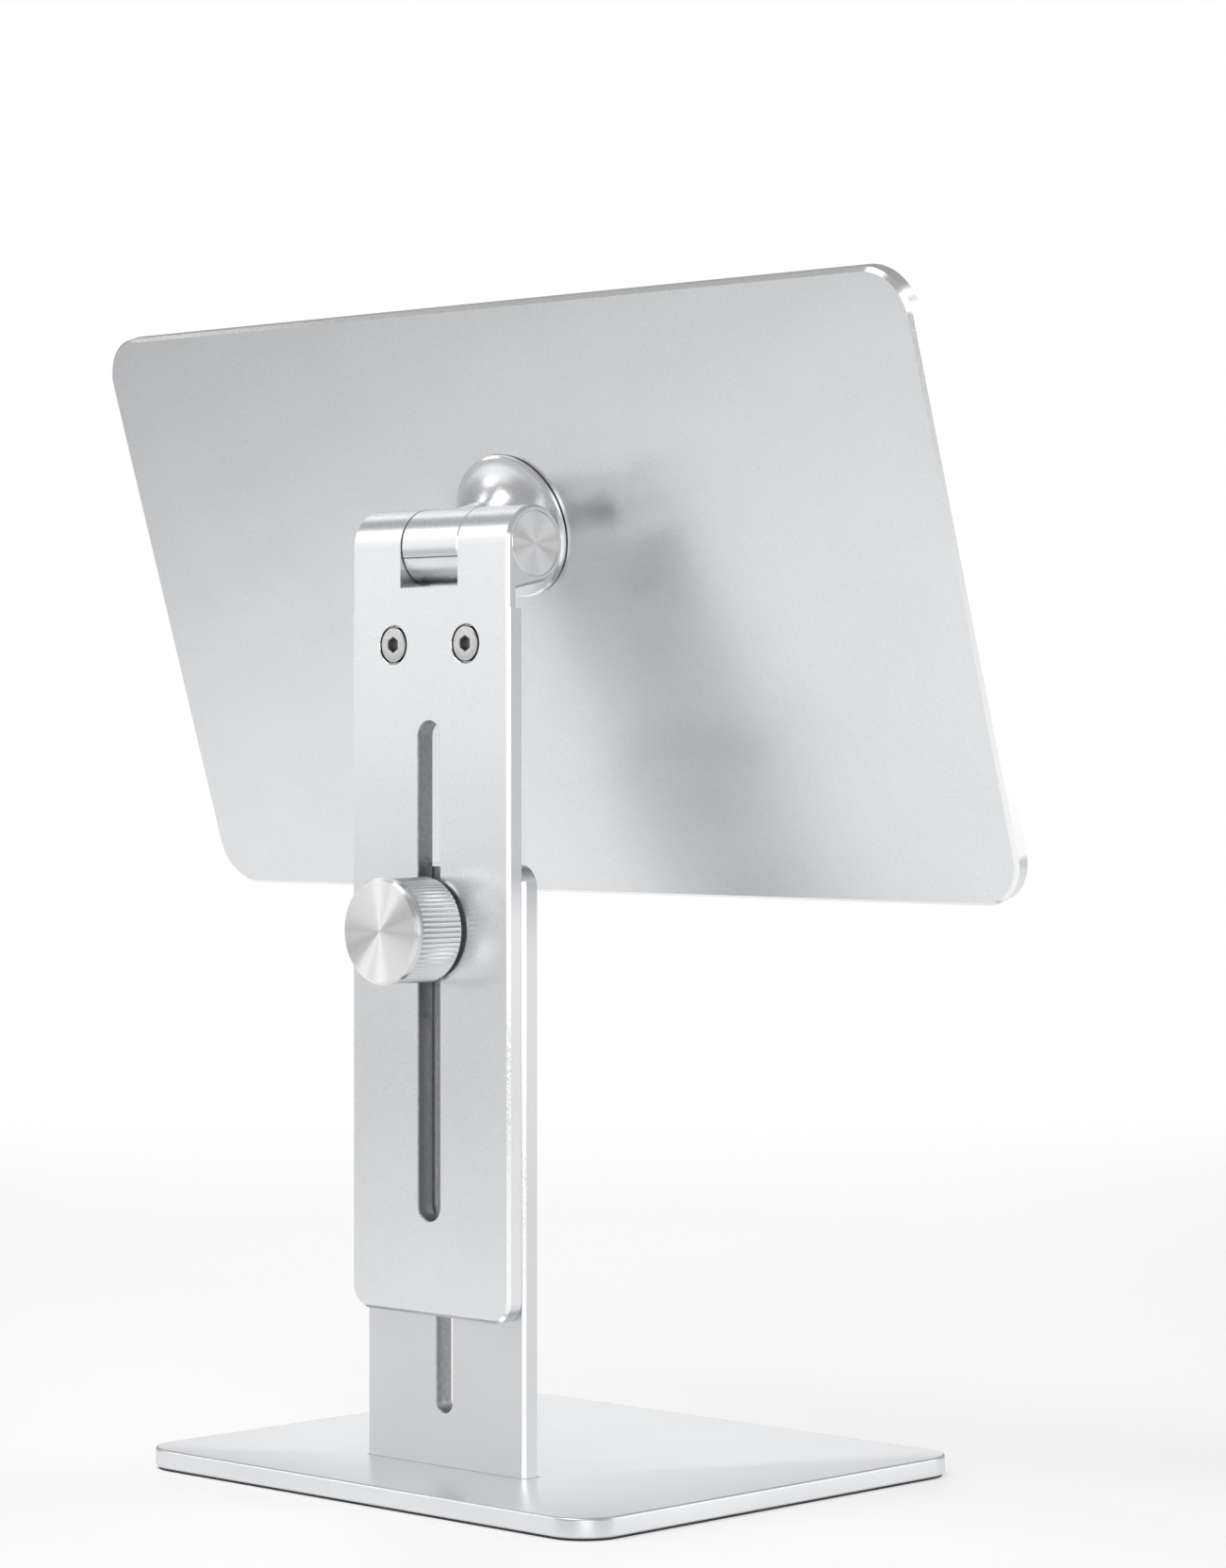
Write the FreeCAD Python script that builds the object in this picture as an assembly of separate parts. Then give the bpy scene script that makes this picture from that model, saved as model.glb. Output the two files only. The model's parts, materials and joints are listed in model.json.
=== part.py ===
"""Height-adjustable magnetic tablet stand.

A rounded base plate carries a slotted column plate. A second slotted plate slides up and
down it and is clamped by a knurled knob. A friction hinge at its top tilts a swivel head,
and the head carries the rounded plate that holds a tablet by magnets.

Axes: +Z up, +X across the stand, -Y towards the user and the tablet, +Y to the rear.
The origin is the centre of the base's footprint, on the surface that the stand rests on.
All sizes are in millimetres.
"""
import FreeCAD, Part
import math
import os
from FreeCAD import Vector

# ---- driving dimensions ---------------------------------------------------------------

# base
BASE_WIDTH = 142.5
BASE_DEPTH = 122.3
BASE_TOP = 4.8
BASE_CORNER = 10.0
BASE_EDGE = 0.6
PAD_THICKNESS = 0.6
PAD_INSET = 0.7

# the two column plates
COLUMN_WIDTH = 50.0
COLUMN_CORNER = 5.0
COLUMN_CHAMFER = 0.68
LOWER_REAR_Y = 32.68
LOWER_THICKNESS = 4.7
LOWER_TOP = 138.5
LOWER_SLOT_WIDTH = 4.8
LOWER_SLOT_LOW = 16.8
LOWER_SLOT_HIGH = 105.1
GROOVE_DEPTH = 1.0
GROOVE_GAP = 0.15
SLIDE_GAP = 0.10
UPPER_THICKNESS = 4.6
UPPER_LOW = 38.7
UPPER_HIGH = 194.4
UPPER_SLOT_WIDTH = 6.8
UPPER_SLOT_LOW = 59.6
UPPER_SLOT_HIGH = 169.9
SLOT_CHAMFER = 0.25

# column screws: M3 countersunk, up from under the base
COLUMN_SCREW_X = (-18.0, 0.0, 18.0)
M3_RADIUS = 1.5
M3_CLEARANCE_RADIUS = 1.7
M3_HEAD_RADIUS = 2.8
M3_HEAD_HEIGHT = 1.6
M3_HEAD_CLEARANCE = 0.2
M3_SOCKET_RADIUS = 1.0
M3_SOCKET_DEPTH = 1.1
COLUMN_SCREW_TIP = 11.5
THREAD_RUNOUT = 0.5

# liner strips in the rear face of the lower column
LINER_WIDTH = 14.0
LINER_X = 14.0
LINER_LOW = 94.0
LINER_HIGH = 134.0
LINER_DEPTH = 0.40
LINER_THICKNESS = 0.45
LINER_CLEARANCE = 0.1

# guide screw and bush low on the sliding plate
GUIDE_Z = 49.0
GUIDE_BUSH_RADIUS = 2.35
GUIDE_BUSH_BORE = 1.55
GUIDE_HEAD_RADIUS = 3.8
GUIDE_HEAD_HEIGHT = 1.4
GUIDE_HEX_FLATS = 2.0
GUIDE_HEX_DEPTH = 1.0
GUIDE_THREAD_DEPTH = 3.4
SMALL_CHAMFER = 0.3

# clamp knob, stud, washer and nut
CLAMP_Z = 124.0
KNOB_RADIUS = 11.7
KNOB_END_Y = 52.38
KNOB_GAP = 0.90
KNOB_END_CHAMFER = 0.6
KNOB_PLAIN_BAND = 2.2
KNURL_COUNT = 60
KNURL_CREST = 0.05
KNURL_DEPTH = 0.45
STUD_RADIUS = 3.0
STUD_TIP_CHAMFER = 0.6
STUD_TIP_Y = 25.6
STUD_INNER_Y = 47.0
STUD_RUNNING_GAP = 0.05
WASHER_RADIUS = 8.0
WASHER_BORE = 3.3
WASHER_THICKNESS = 1.0
CONTACT_GAP = 0.05
NUT_BARREL_RADIUS = 4.5
NUT_BARREL_SINK = 0.3
WASHER_POCKET_GAP = 0.3
NUT_FLANGE_RADIUS = 7.0
NUT_FLANGE_THICKNESS = 1.5

# hinge bracket and barrel
BARREL_Z = 208.6
BARREL_RADIUS = 8.57
BRACKET_WIDTH = 49.5
BRACKET_CHAMFER = 0.65
NOTCH_HALF = 9.1
NOTCH_BOTTOM = 199.5
TAIL_THICKNESS = 3.0
TAIL_SHOULDER_Z = 198.7
TONGUE_HALF = 18.0
TONGUE_THICKNESS = 4.0
TONGUE_LOW = 178.0
TONGUE_TOP = 201.7
TONGUE_ROOT_TOP = 199.2
TONGUE_CORNER = 3.0
CAP_RADIUS = 7.25
CAP_THICKNESS = 1.5
CAP_CHAMFER = 0.15
CAP_SINK = 0.05
CAP_FIT = 0.02
CROWN_ANGLE = 45.0
EAR_POCKET_RADIUS = 6.2
EAR_WEB = 5.5

# bracket screws: M4 low head, in straight counterbores, their heads level with the plate
BRACKET_SCREW_X = (-11.45, 11.45)
BRACKET_SCREW_Z = 186.9
M4_RADIUS = 2.0
M4_HEAD_RADIUS = 3.82
M4_HEAD_HEIGHT = 2.2
M4_HEAD_PROUD = 0.1
M4_HEAD_ROUND = 0.3
M4_BORE_RADIUS = 4.35
M4_CLEARANCE_RADIUS = 2.25
M4_HEX_FLATS = 3.0
M4_HEX_DEPTH = 1.5
M4_TIP_GAP = 0.2

# hinge pin and its stack
PIN_RADIUS = 3.0
PIN_CLEARANCE = 0.05
PIN_HEAD_RADIUS = 5.0
PIN_HEAD_HEIGHT = 6.0
PIN_HEX_FLATS = 5.0
PIN_HEX_DEPTH = 3.0
PIN_NUT_FLATS = 10.0
PIN_NUT_HEIGHT = 4.4
PIN_NUT_CORNER_TRIM = 0.6
STACK_BORE_GAP = 0.2
FLAT_WASHER_RADIUS = 6.0
FLAT_WASHER_THICKNESS = 1.0
DISC_SPRING_RADIUS = 6.0
DISC_SPRING_THICKNESS = 0.5
DISC_SPRING_CONE = 0.25
DISC_SPRING_COUNT = 4

# knuckle
KNUCKLE_RADIUS = 8.5
KNUCKLE_HALF = 8.8
KNUCKLE_CHAMFER = 0.25
WITNESS_WIDTH = 0.3
WITNESS_DEPTH = 0.2
BUSH_RADIUS = 4.0
BUSH_LENGTH = 4.6
FRICTION_RADIUS = 7.4
FRICTION_THICKNESS = 0.25
FRICTION_GAP = 0.02
BOLT_SEAT = 0.6

# swivel head, in the tilted frame of the plate
REST_TILT = 17.2
AXIS_TO_PLATE = 18.34
PLATE_CENTRE_DROP = 18.6
FLANGE_RADIUS = 16.4
FLANGE_RIM = 1.2
FLANGE_GAP = 0.30
RIM_LAND = 0.5
RIM_BREAK = 0.4
FLARE_MIDDLE_RADIUS = 9.7
FLARE_MIDDLE_RISE = 2.9
FLARE_ROOT_RADIUS = 7.3
NECK_RADIUS = 7.9
COLLAR_REACH = 9.2
COLLAR_CHAMFER = 0.25
FLANGE_POCKET_RADIUS = 9.6
FLANGE_POCKET_DEPTH = 1.9
SADDLE_GAP = 0.02
SADDLE_REACH = 4.6
SWIVEL_THREAD_RADIUS = 4.0
SWIVEL_SHOULDER_RADIUS = 4.0
SWIVEL_RUNNING_GAP = 0.05
SWIVEL_RING_GAP = 0.1
SWIVEL_HEAD_RADIUS = 9.5
SWIVEL_HEAD_THICKNESS = 1.2
SWIVEL_HEX_FLATS = 5.0
SWIVEL_HEX_DEPTH = 3.0
SWIVEL_WASHER_RADIUS = 10.5
SWIVEL_WASHER_THICKNESS = 0.5
SPRING_SHARE = 0.55

# plate for the tablet
PLATE_WIDTH = 252.4
PLATE_HEIGHT = 137.7
PLATE_THICKNESS = 4.0
PLATE_CORNER = 11.0
PLATE_CHAMFER = 0.8
PLATE_FRONT_CHAMFER = 0.4
FRONT_RECESS_INSET = 1.6
FRONT_RECESS_DEPTH = 0.5
FRONT_PAD_THICKNESS = 0.8
FRONT_PAD_GAP = 0.1
FRONT_PAD_CHAMFER = 0.2
HUB_RECESS_RADIUS = 11.0
HUB_WEB = 1.3
HUB_BORE_RADIUS = 4.05
MAGNET_WIDTH = 12.0
MAGNET_HEIGHT = 18.0
MAGNET_THICKNESS = 2.0
MAGNET_CLEARANCE = 0.1
MAGNET_COLUMNS_X = (-106.0, -76.0, 76.0, 106.0)
MAGNET_ROWS_Z = (-46.0, -23.0, 0.0, 23.0, 46.0)

# ---- places worked out from them ------------------------------------------------------

LOWER_FRONT_Y = LOWER_REAR_Y - LOWER_THICKNESS
UPPER_FRONT_Y = LOWER_REAR_Y + SLIDE_GAP
UPPER_REAR_Y = UPPER_FRONT_Y + UPPER_THICKNESS
BARREL_Y = UPPER_REAR_Y - BARREL_RADIUS
BARREL = Vector(0, BARREL_Y, BARREL_Z)
BRACKET_HALF = BRACKET_WIDTH / 2
POCKET_FLOOR_X = NOTCH_HALF + EAR_WEB
PLATE_REAR = -AXIS_TO_PLATE
PLATE_FRONT = PLATE_REAR - PLATE_THICKNESS
RECESS_FLOOR = PLATE_FRONT + FRONT_RECESS_DEPTH
COLUMN_MIDDLE_Y = (LOWER_FRONT_Y + LOWER_REAR_Y) / 2
WASHER_FRONT_Y = UPPER_REAR_Y + CONTACT_GAP
WASHER_REAR_Y = WASHER_FRONT_Y + WASHER_THICKNESS
KNOB_FRONT_Y = UPPER_REAR_Y + KNOB_GAP
DISC_SPRING_PITCH = DISC_SPRING_THICKNESS + DISC_SPRING_CONE
NUT_INNER_X = POCKET_FLOOR_X + DISC_SPRING_COUNT * DISC_SPRING_PITCH + FLAT_WASHER_THICKNESS
NUT_OUTER_X = NUT_INNER_X + PIN_NUT_HEIGHT
STACK_BORE = PIN_RADIUS + STACK_BORE_GAP
BOLT_TIP = -PIN_RADIUS - BOLT_SEAT
FLANGE_BASE = PLATE_REAR + FLANGE_GAP
HUB_FLOOR = PLATE_REAR - HUB_WEB
SAME_PLANE = 1e-4
X_AXIS = Vector(1, 0, 0)
Y_AXIS = Vector(0, 1, 0)
Z_AXIS = Vector(0, 0, 1)


# ---- shared shapes --------------------------------------------------------------------

def block(x0, x1, y0, y1, z0, z1):
    """A box between two corners."""
    return Part.makeBox(x1 - x0, y1 - y0, z1 - z0, Vector(x0, y0, z0))


def rod_x(radius, x0, x1, y=0.0, z=0.0):
    """A cylinder along X."""
    return Part.makeCylinder(radius, x1 - x0, Vector(x0, y, z), X_AXIS)


def rod_y(radius, y0, y1, x=0.0, z=0.0):
    """A cylinder along Y."""
    return Part.makeCylinder(radius, y1 - y0, Vector(x, y0, z), Y_AXIS)


def rod_z(radius, z0, z1, x=0.0, y=0.0):
    """A cylinder along Z."""
    return Part.makeCylinder(radius, z1 - z0, Vector(x, y, z0), Z_AXIS)


def prism(points, travel):
    """A closed polygon swept along a vector."""
    wire = Part.makePolygon(points + points[:1])
    return Part.Face(wire).extrude(travel)


def hexagon_y(flats, y0, y1, x=0.0, z=0.0):
    """A hexagonal prism along Y, with two flats upright."""
    corner = flats / math.sqrt(3)
    points = []
    for step in range(6):
        turn = math.radians(60 * step + 30)
        points.append(Vector(x + corner * math.sin(turn), y0, z + corner * math.cos(turn)))
    return prism(points, Vector(0, y1 - y0, 0))


def hexagon_x(flats, x0, x1):
    """A hexagonal prism along X, centred on the axis."""
    corner = flats / math.sqrt(3)
    points = []
    for step in range(6):
        turn = math.radians(60 * step)
        points.append(Vector(x0, corner * math.cos(turn), corner * math.sin(turn)))
    return prism(points, Vector(x1 - x0, 0, 0))


def upright_plate(width, z0, z1, y0, y1, low_corner, high_corner):
    """An upright plate across X, with its lower and upper corners rounded."""
    plate = block(-width / 2, width / 2, y0, y1, z0, z1)
    for radius, level in ((low_corner, z0), (high_corner, z1)):
        if radius > 0:
            corners = [e for e in plate.Edges if along(e, Y_AXIS) and abs(middle(e).z - level) < SAME_PLANE]
            plate = plate.makeFillet(radius, corners)
    return plate


def upright_slot(width, z0, z1, y0, y1):
    """The space of an upright slot with round ends."""
    radius = width / 2
    slot = block(-radius, radius, y0, y1, z0 + radius, z1 - radius)
    slot = slot.fuse(rod_y(radius, y0, y1, 0, z0 + radius))
    return slot.fuse(rod_y(radius, y0, y1, 0, z1 - radius)).removeSplitter()


def slotted(plate, width, z0, z1, y0, y1):
    """An upright plate with a slot through it, chamfered at the plate's rear face."""
    plate = plate.cut(upright_slot(width, z0, z1, y0 - 1, y1 + 1))
    rims = edges_at_y(plate, y1, width / 2, z0 - 1, z1 + 1)
    return plate.makeChamfer(SLOT_CHAMFER, rims)


def middle(edge):
    """The point halfway along an edge."""
    return edge.valueAt((edge.FirstParameter + edge.LastParameter) / 2)


def along(edge, direction):
    """True for a straight edge in the given direction."""
    if not isinstance(edge.Curve, Part.Line):
        return False
    return abs(abs(edge.Curve.Direction.dot(direction)) - 1) < 1e-6


def edges_at_y(shape, level, half_width, z_above=-math.inf, z_below=math.inf):
    """Edges in a plane of constant Y, within a half width and between two heights."""
    found = []
    for edge in shape.Edges:
        box = edge.BoundBox
        flat = abs(box.YMin - level) < SAME_PLANE and abs(box.YMax - level) < SAME_PLANE
        inside = box.XMin >= -half_width - SAME_PLANE and box.XMax <= half_width + SAME_PLANE
        if flat and inside and middle(edge).z > z_above and middle(edge).z < z_below:
            found.append(edge)
    return found


def rim_edges(shape, axis_name, level):
    """Edges that lie wholly in one plane across X, Y or Z."""
    found = []
    for edge in shape.Edges:
        low = getattr(edge.BoundBox, axis_name + "Min")
        high = getattr(edge.BoundBox, axis_name + "Max")
        if abs(low - level) < SAME_PLANE and abs(high - level) < SAME_PLANE:
            found.append(edge)
    return found


def tilted(shape):
    """Move a shape from the plate's own frame to its place at the rest tilt.

    The plate's frame has its origin on the barrel axis, +Y out of the plate's rear face
    and +Z up along the plate.
    """
    moved = shape.copy()
    moved.rotate(Vector(0, 0, 0), X_AXIS, -REST_TILT)
    moved.translate(BARREL)
    return moved


def at_barrel(shape):
    """Move a shape from the barrel axis at the origin to its place."""
    moved = shape.copy()
    moved.translate(BARREL)
    return moved


# ---- base -----------------------------------------------------------------------------

def base_plate():
    half_width = BASE_WIDTH / 2
    half_depth = BASE_DEPTH / 2
    plate = block(-half_width, half_width, -half_depth, half_depth, PAD_THICKNESS, BASE_TOP)
    plate = plate.makeFillet(BASE_CORNER, [e for e in plate.Edges if along(e, Z_AXIS)])
    plate = plate.makeFillet(BASE_EDGE, rim_edges(plate, "Z", BASE_TOP))
    groove_half = COLUMN_WIDTH / 2 + GROOVE_GAP
    groove = block(-groove_half, groove_half, LOWER_FRONT_Y - GROOVE_GAP, LOWER_REAR_Y + GROOVE_GAP,
                   BASE_TOP - GROOVE_DEPTH, BASE_TOP + 1)
    plate = plate.cut(groove)
    for x in COLUMN_SCREW_X:
        plate = plate.cut(rod_z(M3_CLEARANCE_RADIUS, 0, BASE_TOP, x, COLUMN_MIDDLE_Y))
        sink = screw_cone(M3_HEAD_RADIUS + M3_HEAD_CLEARANCE, M3_CLEARANCE_RADIUS, x, PAD_THICKNESS)
        plate = plate.cut(sink)
    return plate


def screw_cone(head_radius, shank_radius, x, low):
    """A countersunk head's cone under the base, wide end down."""
    foot = Vector(x, COLUMN_MIDDLE_Y, low)
    return Part.makeCone(head_radius, shank_radius, M3_HEAD_HEIGHT, foot, Z_AXIS)


def base_pad():
    half_width = BASE_WIDTH / 2 - PAD_INSET
    half_depth = BASE_DEPTH / 2 - PAD_INSET
    pad = block(-half_width, half_width, -half_depth, half_depth, 0, PAD_THICKNESS)
    return pad.makeFillet(BASE_CORNER - PAD_INSET, [e for e in pad.Edges if along(e, Z_AXIS)])


def column_screws():
    screws = []
    low = PAD_THICKNESS + CONTACT_GAP
    for x in COLUMN_SCREW_X:
        head = screw_cone(M3_HEAD_RADIUS, M3_RADIUS, x, low)
        shank = rod_z(M3_RADIUS, low, COLUMN_SCREW_TIP, x, COLUMN_MIDDLE_Y)
        socket = rod_z(M3_SOCKET_RADIUS, low, low + M3_SOCKET_DEPTH, x, COLUMN_MIDDLE_Y)
        screws.append(head.fuse(shank).cut(socket))
    return Part.makeCompound(screws)


# ---- columns --------------------------------------------------------------------------

def column_lower():
    low = BASE_TOP - GROOVE_DEPTH
    plate = upright_plate(COLUMN_WIDTH, low, LOWER_TOP, LOWER_FRONT_Y, LOWER_REAR_Y, 0, COLUMN_CORNER)
    for level in (LOWER_FRONT_Y, LOWER_REAR_Y):
        edges = edges_at_y(plate, level, COLUMN_WIDTH, z_above=low + SAME_PLANE)
        plate = plate.makeChamfer(COLUMN_CHAMFER, edges)
    plate = slotted(plate, LOWER_SLOT_WIDTH, LOWER_SLOT_LOW, LOWER_SLOT_HIGH, LOWER_FRONT_Y, LOWER_REAR_Y)
    plate = plate.cut(rod_y(NUT_BARREL_RADIUS, LOWER_FRONT_Y - 1, LOWER_REAR_Y + 1, 0, CLAMP_Z))
    for strip in liner_strips(LINER_DEPTH + 1, LOWER_REAR_Y - LINER_DEPTH, LINER_CLEARANCE):
        plate = plate.cut(strip)
    for x in COLUMN_SCREW_X:
        plate = plate.cut(rod_z(M3_RADIUS, low - 1, COLUMN_SCREW_TIP + THREAD_RUNOUT, x, COLUMN_MIDDLE_Y))
    return plate


def liner_strips(thickness, front_y, growth):
    """The two liner strips, or with some growth the pockets that they lie in."""
    strips = []
    for side in (-1, 1):
        x0 = side * LINER_X - LINER_WIDTH / 2 - growth
        x1 = side * LINER_X + LINER_WIDTH / 2 + growth
        strips.append(block(x0, x1, front_y, front_y + thickness, LINER_LOW - growth, LINER_HIGH + growth))
    return strips


def slide_liners():
    return Part.makeCompound(liner_strips(LINER_THICKNESS, LOWER_REAR_Y - LINER_DEPTH, 0))


def column_upper():
    plate = upright_plate(COLUMN_WIDTH, UPPER_LOW, UPPER_HIGH, UPPER_FRONT_Y, UPPER_REAR_Y, COLUMN_CORNER, 0)
    for level in (UPPER_FRONT_Y, UPPER_REAR_Y):
        edges = edges_at_y(plate, level, COLUMN_WIDTH, z_below=UPPER_HIGH - SAME_PLANE)
        plate = plate.makeChamfer(COLUMN_CHAMFER, edges)
    plate = slotted(plate, UPPER_SLOT_WIDTH, UPPER_SLOT_LOW, UPPER_SLOT_HIGH, UPPER_FRONT_Y, UPPER_REAR_Y)
    bore_floor = UPPER_REAR_Y + M4_HEAD_PROUD - M4_HEAD_HEIGHT
    for x in BRACKET_SCREW_X:
        plate = plate.cut(rod_y(M4_BORE_RADIUS, bore_floor, UPPER_REAR_Y + 1, x, BRACKET_SCREW_Z))
        plate = plate.cut(rod_y(M4_CLEARANCE_RADIUS, UPPER_FRONT_Y - 1, bore_floor + 1, x, BRACKET_SCREW_Z))
    thread_end = UPPER_FRONT_Y + GUIDE_THREAD_DEPTH
    return plate.cut(rod_y(M3_RADIUS, UPPER_FRONT_Y - 1, thread_end, 0, GUIDE_Z))


def guide_bush():
    """Plain sleeve that runs in the lower slot, from the sliding plate to the guide head."""
    front = LOWER_FRONT_Y - CONTACT_GAP
    sleeve = rod_y(GUIDE_BUSH_RADIUS, front, UPPER_FRONT_Y, 0, GUIDE_Z)
    return sleeve.cut(rod_y(GUIDE_BUSH_BORE, front - 1, UPPER_FRONT_Y + 1, 0, GUIDE_Z))


def guide_screw():
    """Low-headed screw whose head bears on the bush and keeps the sliding plate in its slot."""
    head_rear = LOWER_FRONT_Y - CONTACT_GAP
    head_front = head_rear - GUIDE_HEAD_HEIGHT
    head = rod_y(GUIDE_HEAD_RADIUS, head_front, head_rear, 0, GUIDE_Z)
    head = head.makeChamfer(SMALL_CHAMFER, rim_edges(head, "Y", head_front))
    shank = rod_y(M3_RADIUS, head_rear, UPPER_FRONT_Y + GUIDE_THREAD_DEPTH - THREAD_RUNOUT, 0, GUIDE_Z)
    socket = hexagon_y(GUIDE_HEX_FLATS, head_front - 1, head_front + GUIDE_HEX_DEPTH, 0, GUIDE_Z)
    return head.fuse(shank).cut(socket)


# ---- clamp ----------------------------------------------------------------------------

def clamp_knob():
    """Turned knob: a plain band at the outer end, then a straight knurl to the inner end."""
    band_start = KNOB_END_Y - KNOB_PLAIN_BAND
    band = rod_y(KNOB_RADIUS, band_start, KNOB_END_Y, 0, CLAMP_Z)
    band = band.makeChamfer(KNOB_END_CHAMFER, rim_edges(band, "Y", KNOB_END_Y))
    points = []
    for step in range(2 * KNURL_COUNT):
        radius = KNOB_RADIUS - (KNURL_CREST if step % 2 == 0 else KNURL_DEPTH)
        turn = math.pi * step / KNURL_COUNT
        points.append(Vector(radius * math.sin(turn), KNOB_FRONT_Y, CLAMP_Z + radius * math.cos(turn)))
    knurl = prism(points, Vector(0, band_start - KNOB_FRONT_Y, 0))
    knob = band.fuse(knurl)
    pocket_radius = WASHER_RADIUS + WASHER_POCKET_GAP
    pocket = rod_y(pocket_radius, KNOB_FRONT_Y - 1, WASHER_REAR_Y + CONTACT_GAP, 0, CLAMP_Z)
    return knob.cut(pocket).cut(rod_y(STUD_RADIUS, KNOB_FRONT_Y - 1, STUD_INNER_Y, 0, CLAMP_Z))


def clamp_stud():
    stud = rod_y(STUD_RADIUS, STUD_TIP_Y, STUD_INNER_Y, 0, CLAMP_Z)
    return stud.makeChamfer(STUD_TIP_CHAMFER, rim_edges(stud, "Y", STUD_TIP_Y))


def clamp_washer():
    ring = rod_y(WASHER_RADIUS, WASHER_FRONT_Y, WASHER_REAR_Y, 0, CLAMP_Z)
    return ring.cut(rod_y(WASHER_BORE, WASHER_FRONT_Y - 1, WASHER_REAR_Y + 1, 0, CLAMP_Z))


def clamp_nut():
    """Flanged press nut, pulled against the front of the lower column by the stud."""
    flange_front = LOWER_FRONT_Y - NUT_FLANGE_THICKNESS
    flange = rod_y(NUT_FLANGE_RADIUS, flange_front, LOWER_FRONT_Y, 0, CLAMP_Z)
    flange = flange.makeChamfer(SMALL_CHAMFER, rim_edges(flange, "Y", flange_front))
    nut = flange.fuse(rod_y(NUT_BARREL_RADIUS, LOWER_FRONT_Y, LOWER_REAR_Y - NUT_BARREL_SINK, 0, CLAMP_Z))
    bore = rod_y(STUD_RADIUS + STUD_RUNNING_GAP, flange_front - 1, LOWER_REAR_Y + 1, 0, CLAMP_Z)
    return nut.cut(bore)


# ---- hinge bracket and its pin --------------------------------------------------------

def bracket_outline():
    """Side outline of the ears: barrel, sloping underside and thin tail, as a face across X."""
    tail_front = UPPER_REAR_Y - TAIL_THICKNESS
    shoulder = Vector(-BRACKET_HALF, tail_front, TAIL_SHOULDER_Z)
    reach_y = BARREL_Y - shoulder.y
    reach_z = BARREL_Z - shoulder.z
    reach = math.hypot(reach_y, reach_z)
    # the tangent from the shoulder to the front of the barrel
    heading = math.atan2(reach_z, reach_y) + math.asin(BARREL_RADIUS / reach)
    length = math.sqrt(reach ** 2 - BARREL_RADIUS ** 2)
    touch = shoulder + Vector(0, length * math.cos(heading), length * math.sin(heading))
    rear_low = Vector(-BRACKET_HALF, UPPER_REAR_Y, UPPER_HIGH)
    rear_high = Vector(-BRACKET_HALF, UPPER_REAR_Y, BARREL_Z)
    front_low = Vector(-BRACKET_HALF, tail_front, UPPER_HIGH)
    crown_turn = math.radians(CROWN_ANGLE)
    crown = Vector(-BRACKET_HALF, BARREL_Y - BARREL_RADIUS * math.sin(crown_turn),
                   BARREL_Z + BARREL_RADIUS * math.cos(crown_turn))
    edges = [
        Part.LineSegment(rear_low, rear_high).toShape(),
        Part.Arc(rear_high, crown, touch).toShape(),
        Part.LineSegment(touch, shoulder).toShape(),
        Part.LineSegment(shoulder, front_low).toShape(),
        Part.LineSegment(front_low, rear_low).toShape(),
    ]
    return Part.Face(Part.Wire(edges))


def hinge_bracket():
    bracket = bracket_outline().extrude(Vector(BRACKET_WIDTH, 0, 0))
    rims = rim_edges(bracket, "X", -BRACKET_HALF) + rim_edges(bracket, "X", BRACKET_HALF)
    rims = [e for e in rims if middle(e).z > UPPER_HIGH + SAME_PLANE]
    bracket = bracket.makeChamfer(BRACKET_CHAMFER, rims)
    tongue_front = UPPER_FRONT_Y - TONGUE_THICKNESS
    tongue = upright_plate(2 * TONGUE_HALF, TONGUE_LOW, TONGUE_TOP, tongue_front, UPPER_FRONT_Y,
                           TONGUE_CORNER, 0)
    root = block(-TONGUE_HALF, TONGUE_HALF, tongue_front, UPPER_REAR_Y - 1, UPPER_HIGH, TONGUE_ROOT_TOP)
    bracket = bracket.fuse(tongue).fuse(root)
    notch_top = BARREL_Z + 2 * BARREL_RADIUS
    bracket = bracket.cut(block(-NOTCH_HALF, NOTCH_HALF, 0, UPPER_REAR_Y + 1, NOTCH_BOTTOM, notch_top))
    bracket = bracket.cut(at_barrel(rod_x(PIN_RADIUS + PIN_CLEARANCE, -BRACKET_HALF, BRACKET_HALF)))
    for side in (-1, 1):
        pocket = rod_x(EAR_POCKET_RADIUS, POCKET_FLOOR_X, BRACKET_HALF + 1)
        seat = rod_x(CAP_RADIUS, BRACKET_HALF - CAP_THICKNESS, BRACKET_HALF + 1)
        recess = pocket.fuse(seat)
        if side < 0:
            recess = recess.mirror(Vector(0, 0, 0), X_AXIS)
        bracket = bracket.cut(at_barrel(recess))
    for x in BRACKET_SCREW_X:
        bracket = bracket.cut(rod_y(M4_RADIUS, tongue_front - 1, UPPER_FRONT_Y + 1, x, BRACKET_SCREW_Z))
    return bracket.removeSplitter()


def bracket_screws():
    screws = []
    head_rear = UPPER_REAR_Y + M4_HEAD_PROUD
    head_front = head_rear - M4_HEAD_HEIGHT
    tip = UPPER_FRONT_Y - TONGUE_THICKNESS + M4_TIP_GAP
    for x in BRACKET_SCREW_X:
        head = rod_y(M4_HEAD_RADIUS, head_front, head_rear, x, BRACKET_SCREW_Z)
        head = head.makeFillet(M4_HEAD_ROUND, rim_edges(head, "Y", head_rear))
        shank = rod_y(M4_RADIUS, tip, head_front, x, BRACKET_SCREW_Z)
        socket = hexagon_y(M4_HEX_FLATS, head_rear - M4_HEX_DEPTH, head_rear + 1, x, BRACKET_SCREW_Z)
        screws.append(head.fuse(shank).cut(socket))
    return Part.makeCompound(screws)


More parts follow.
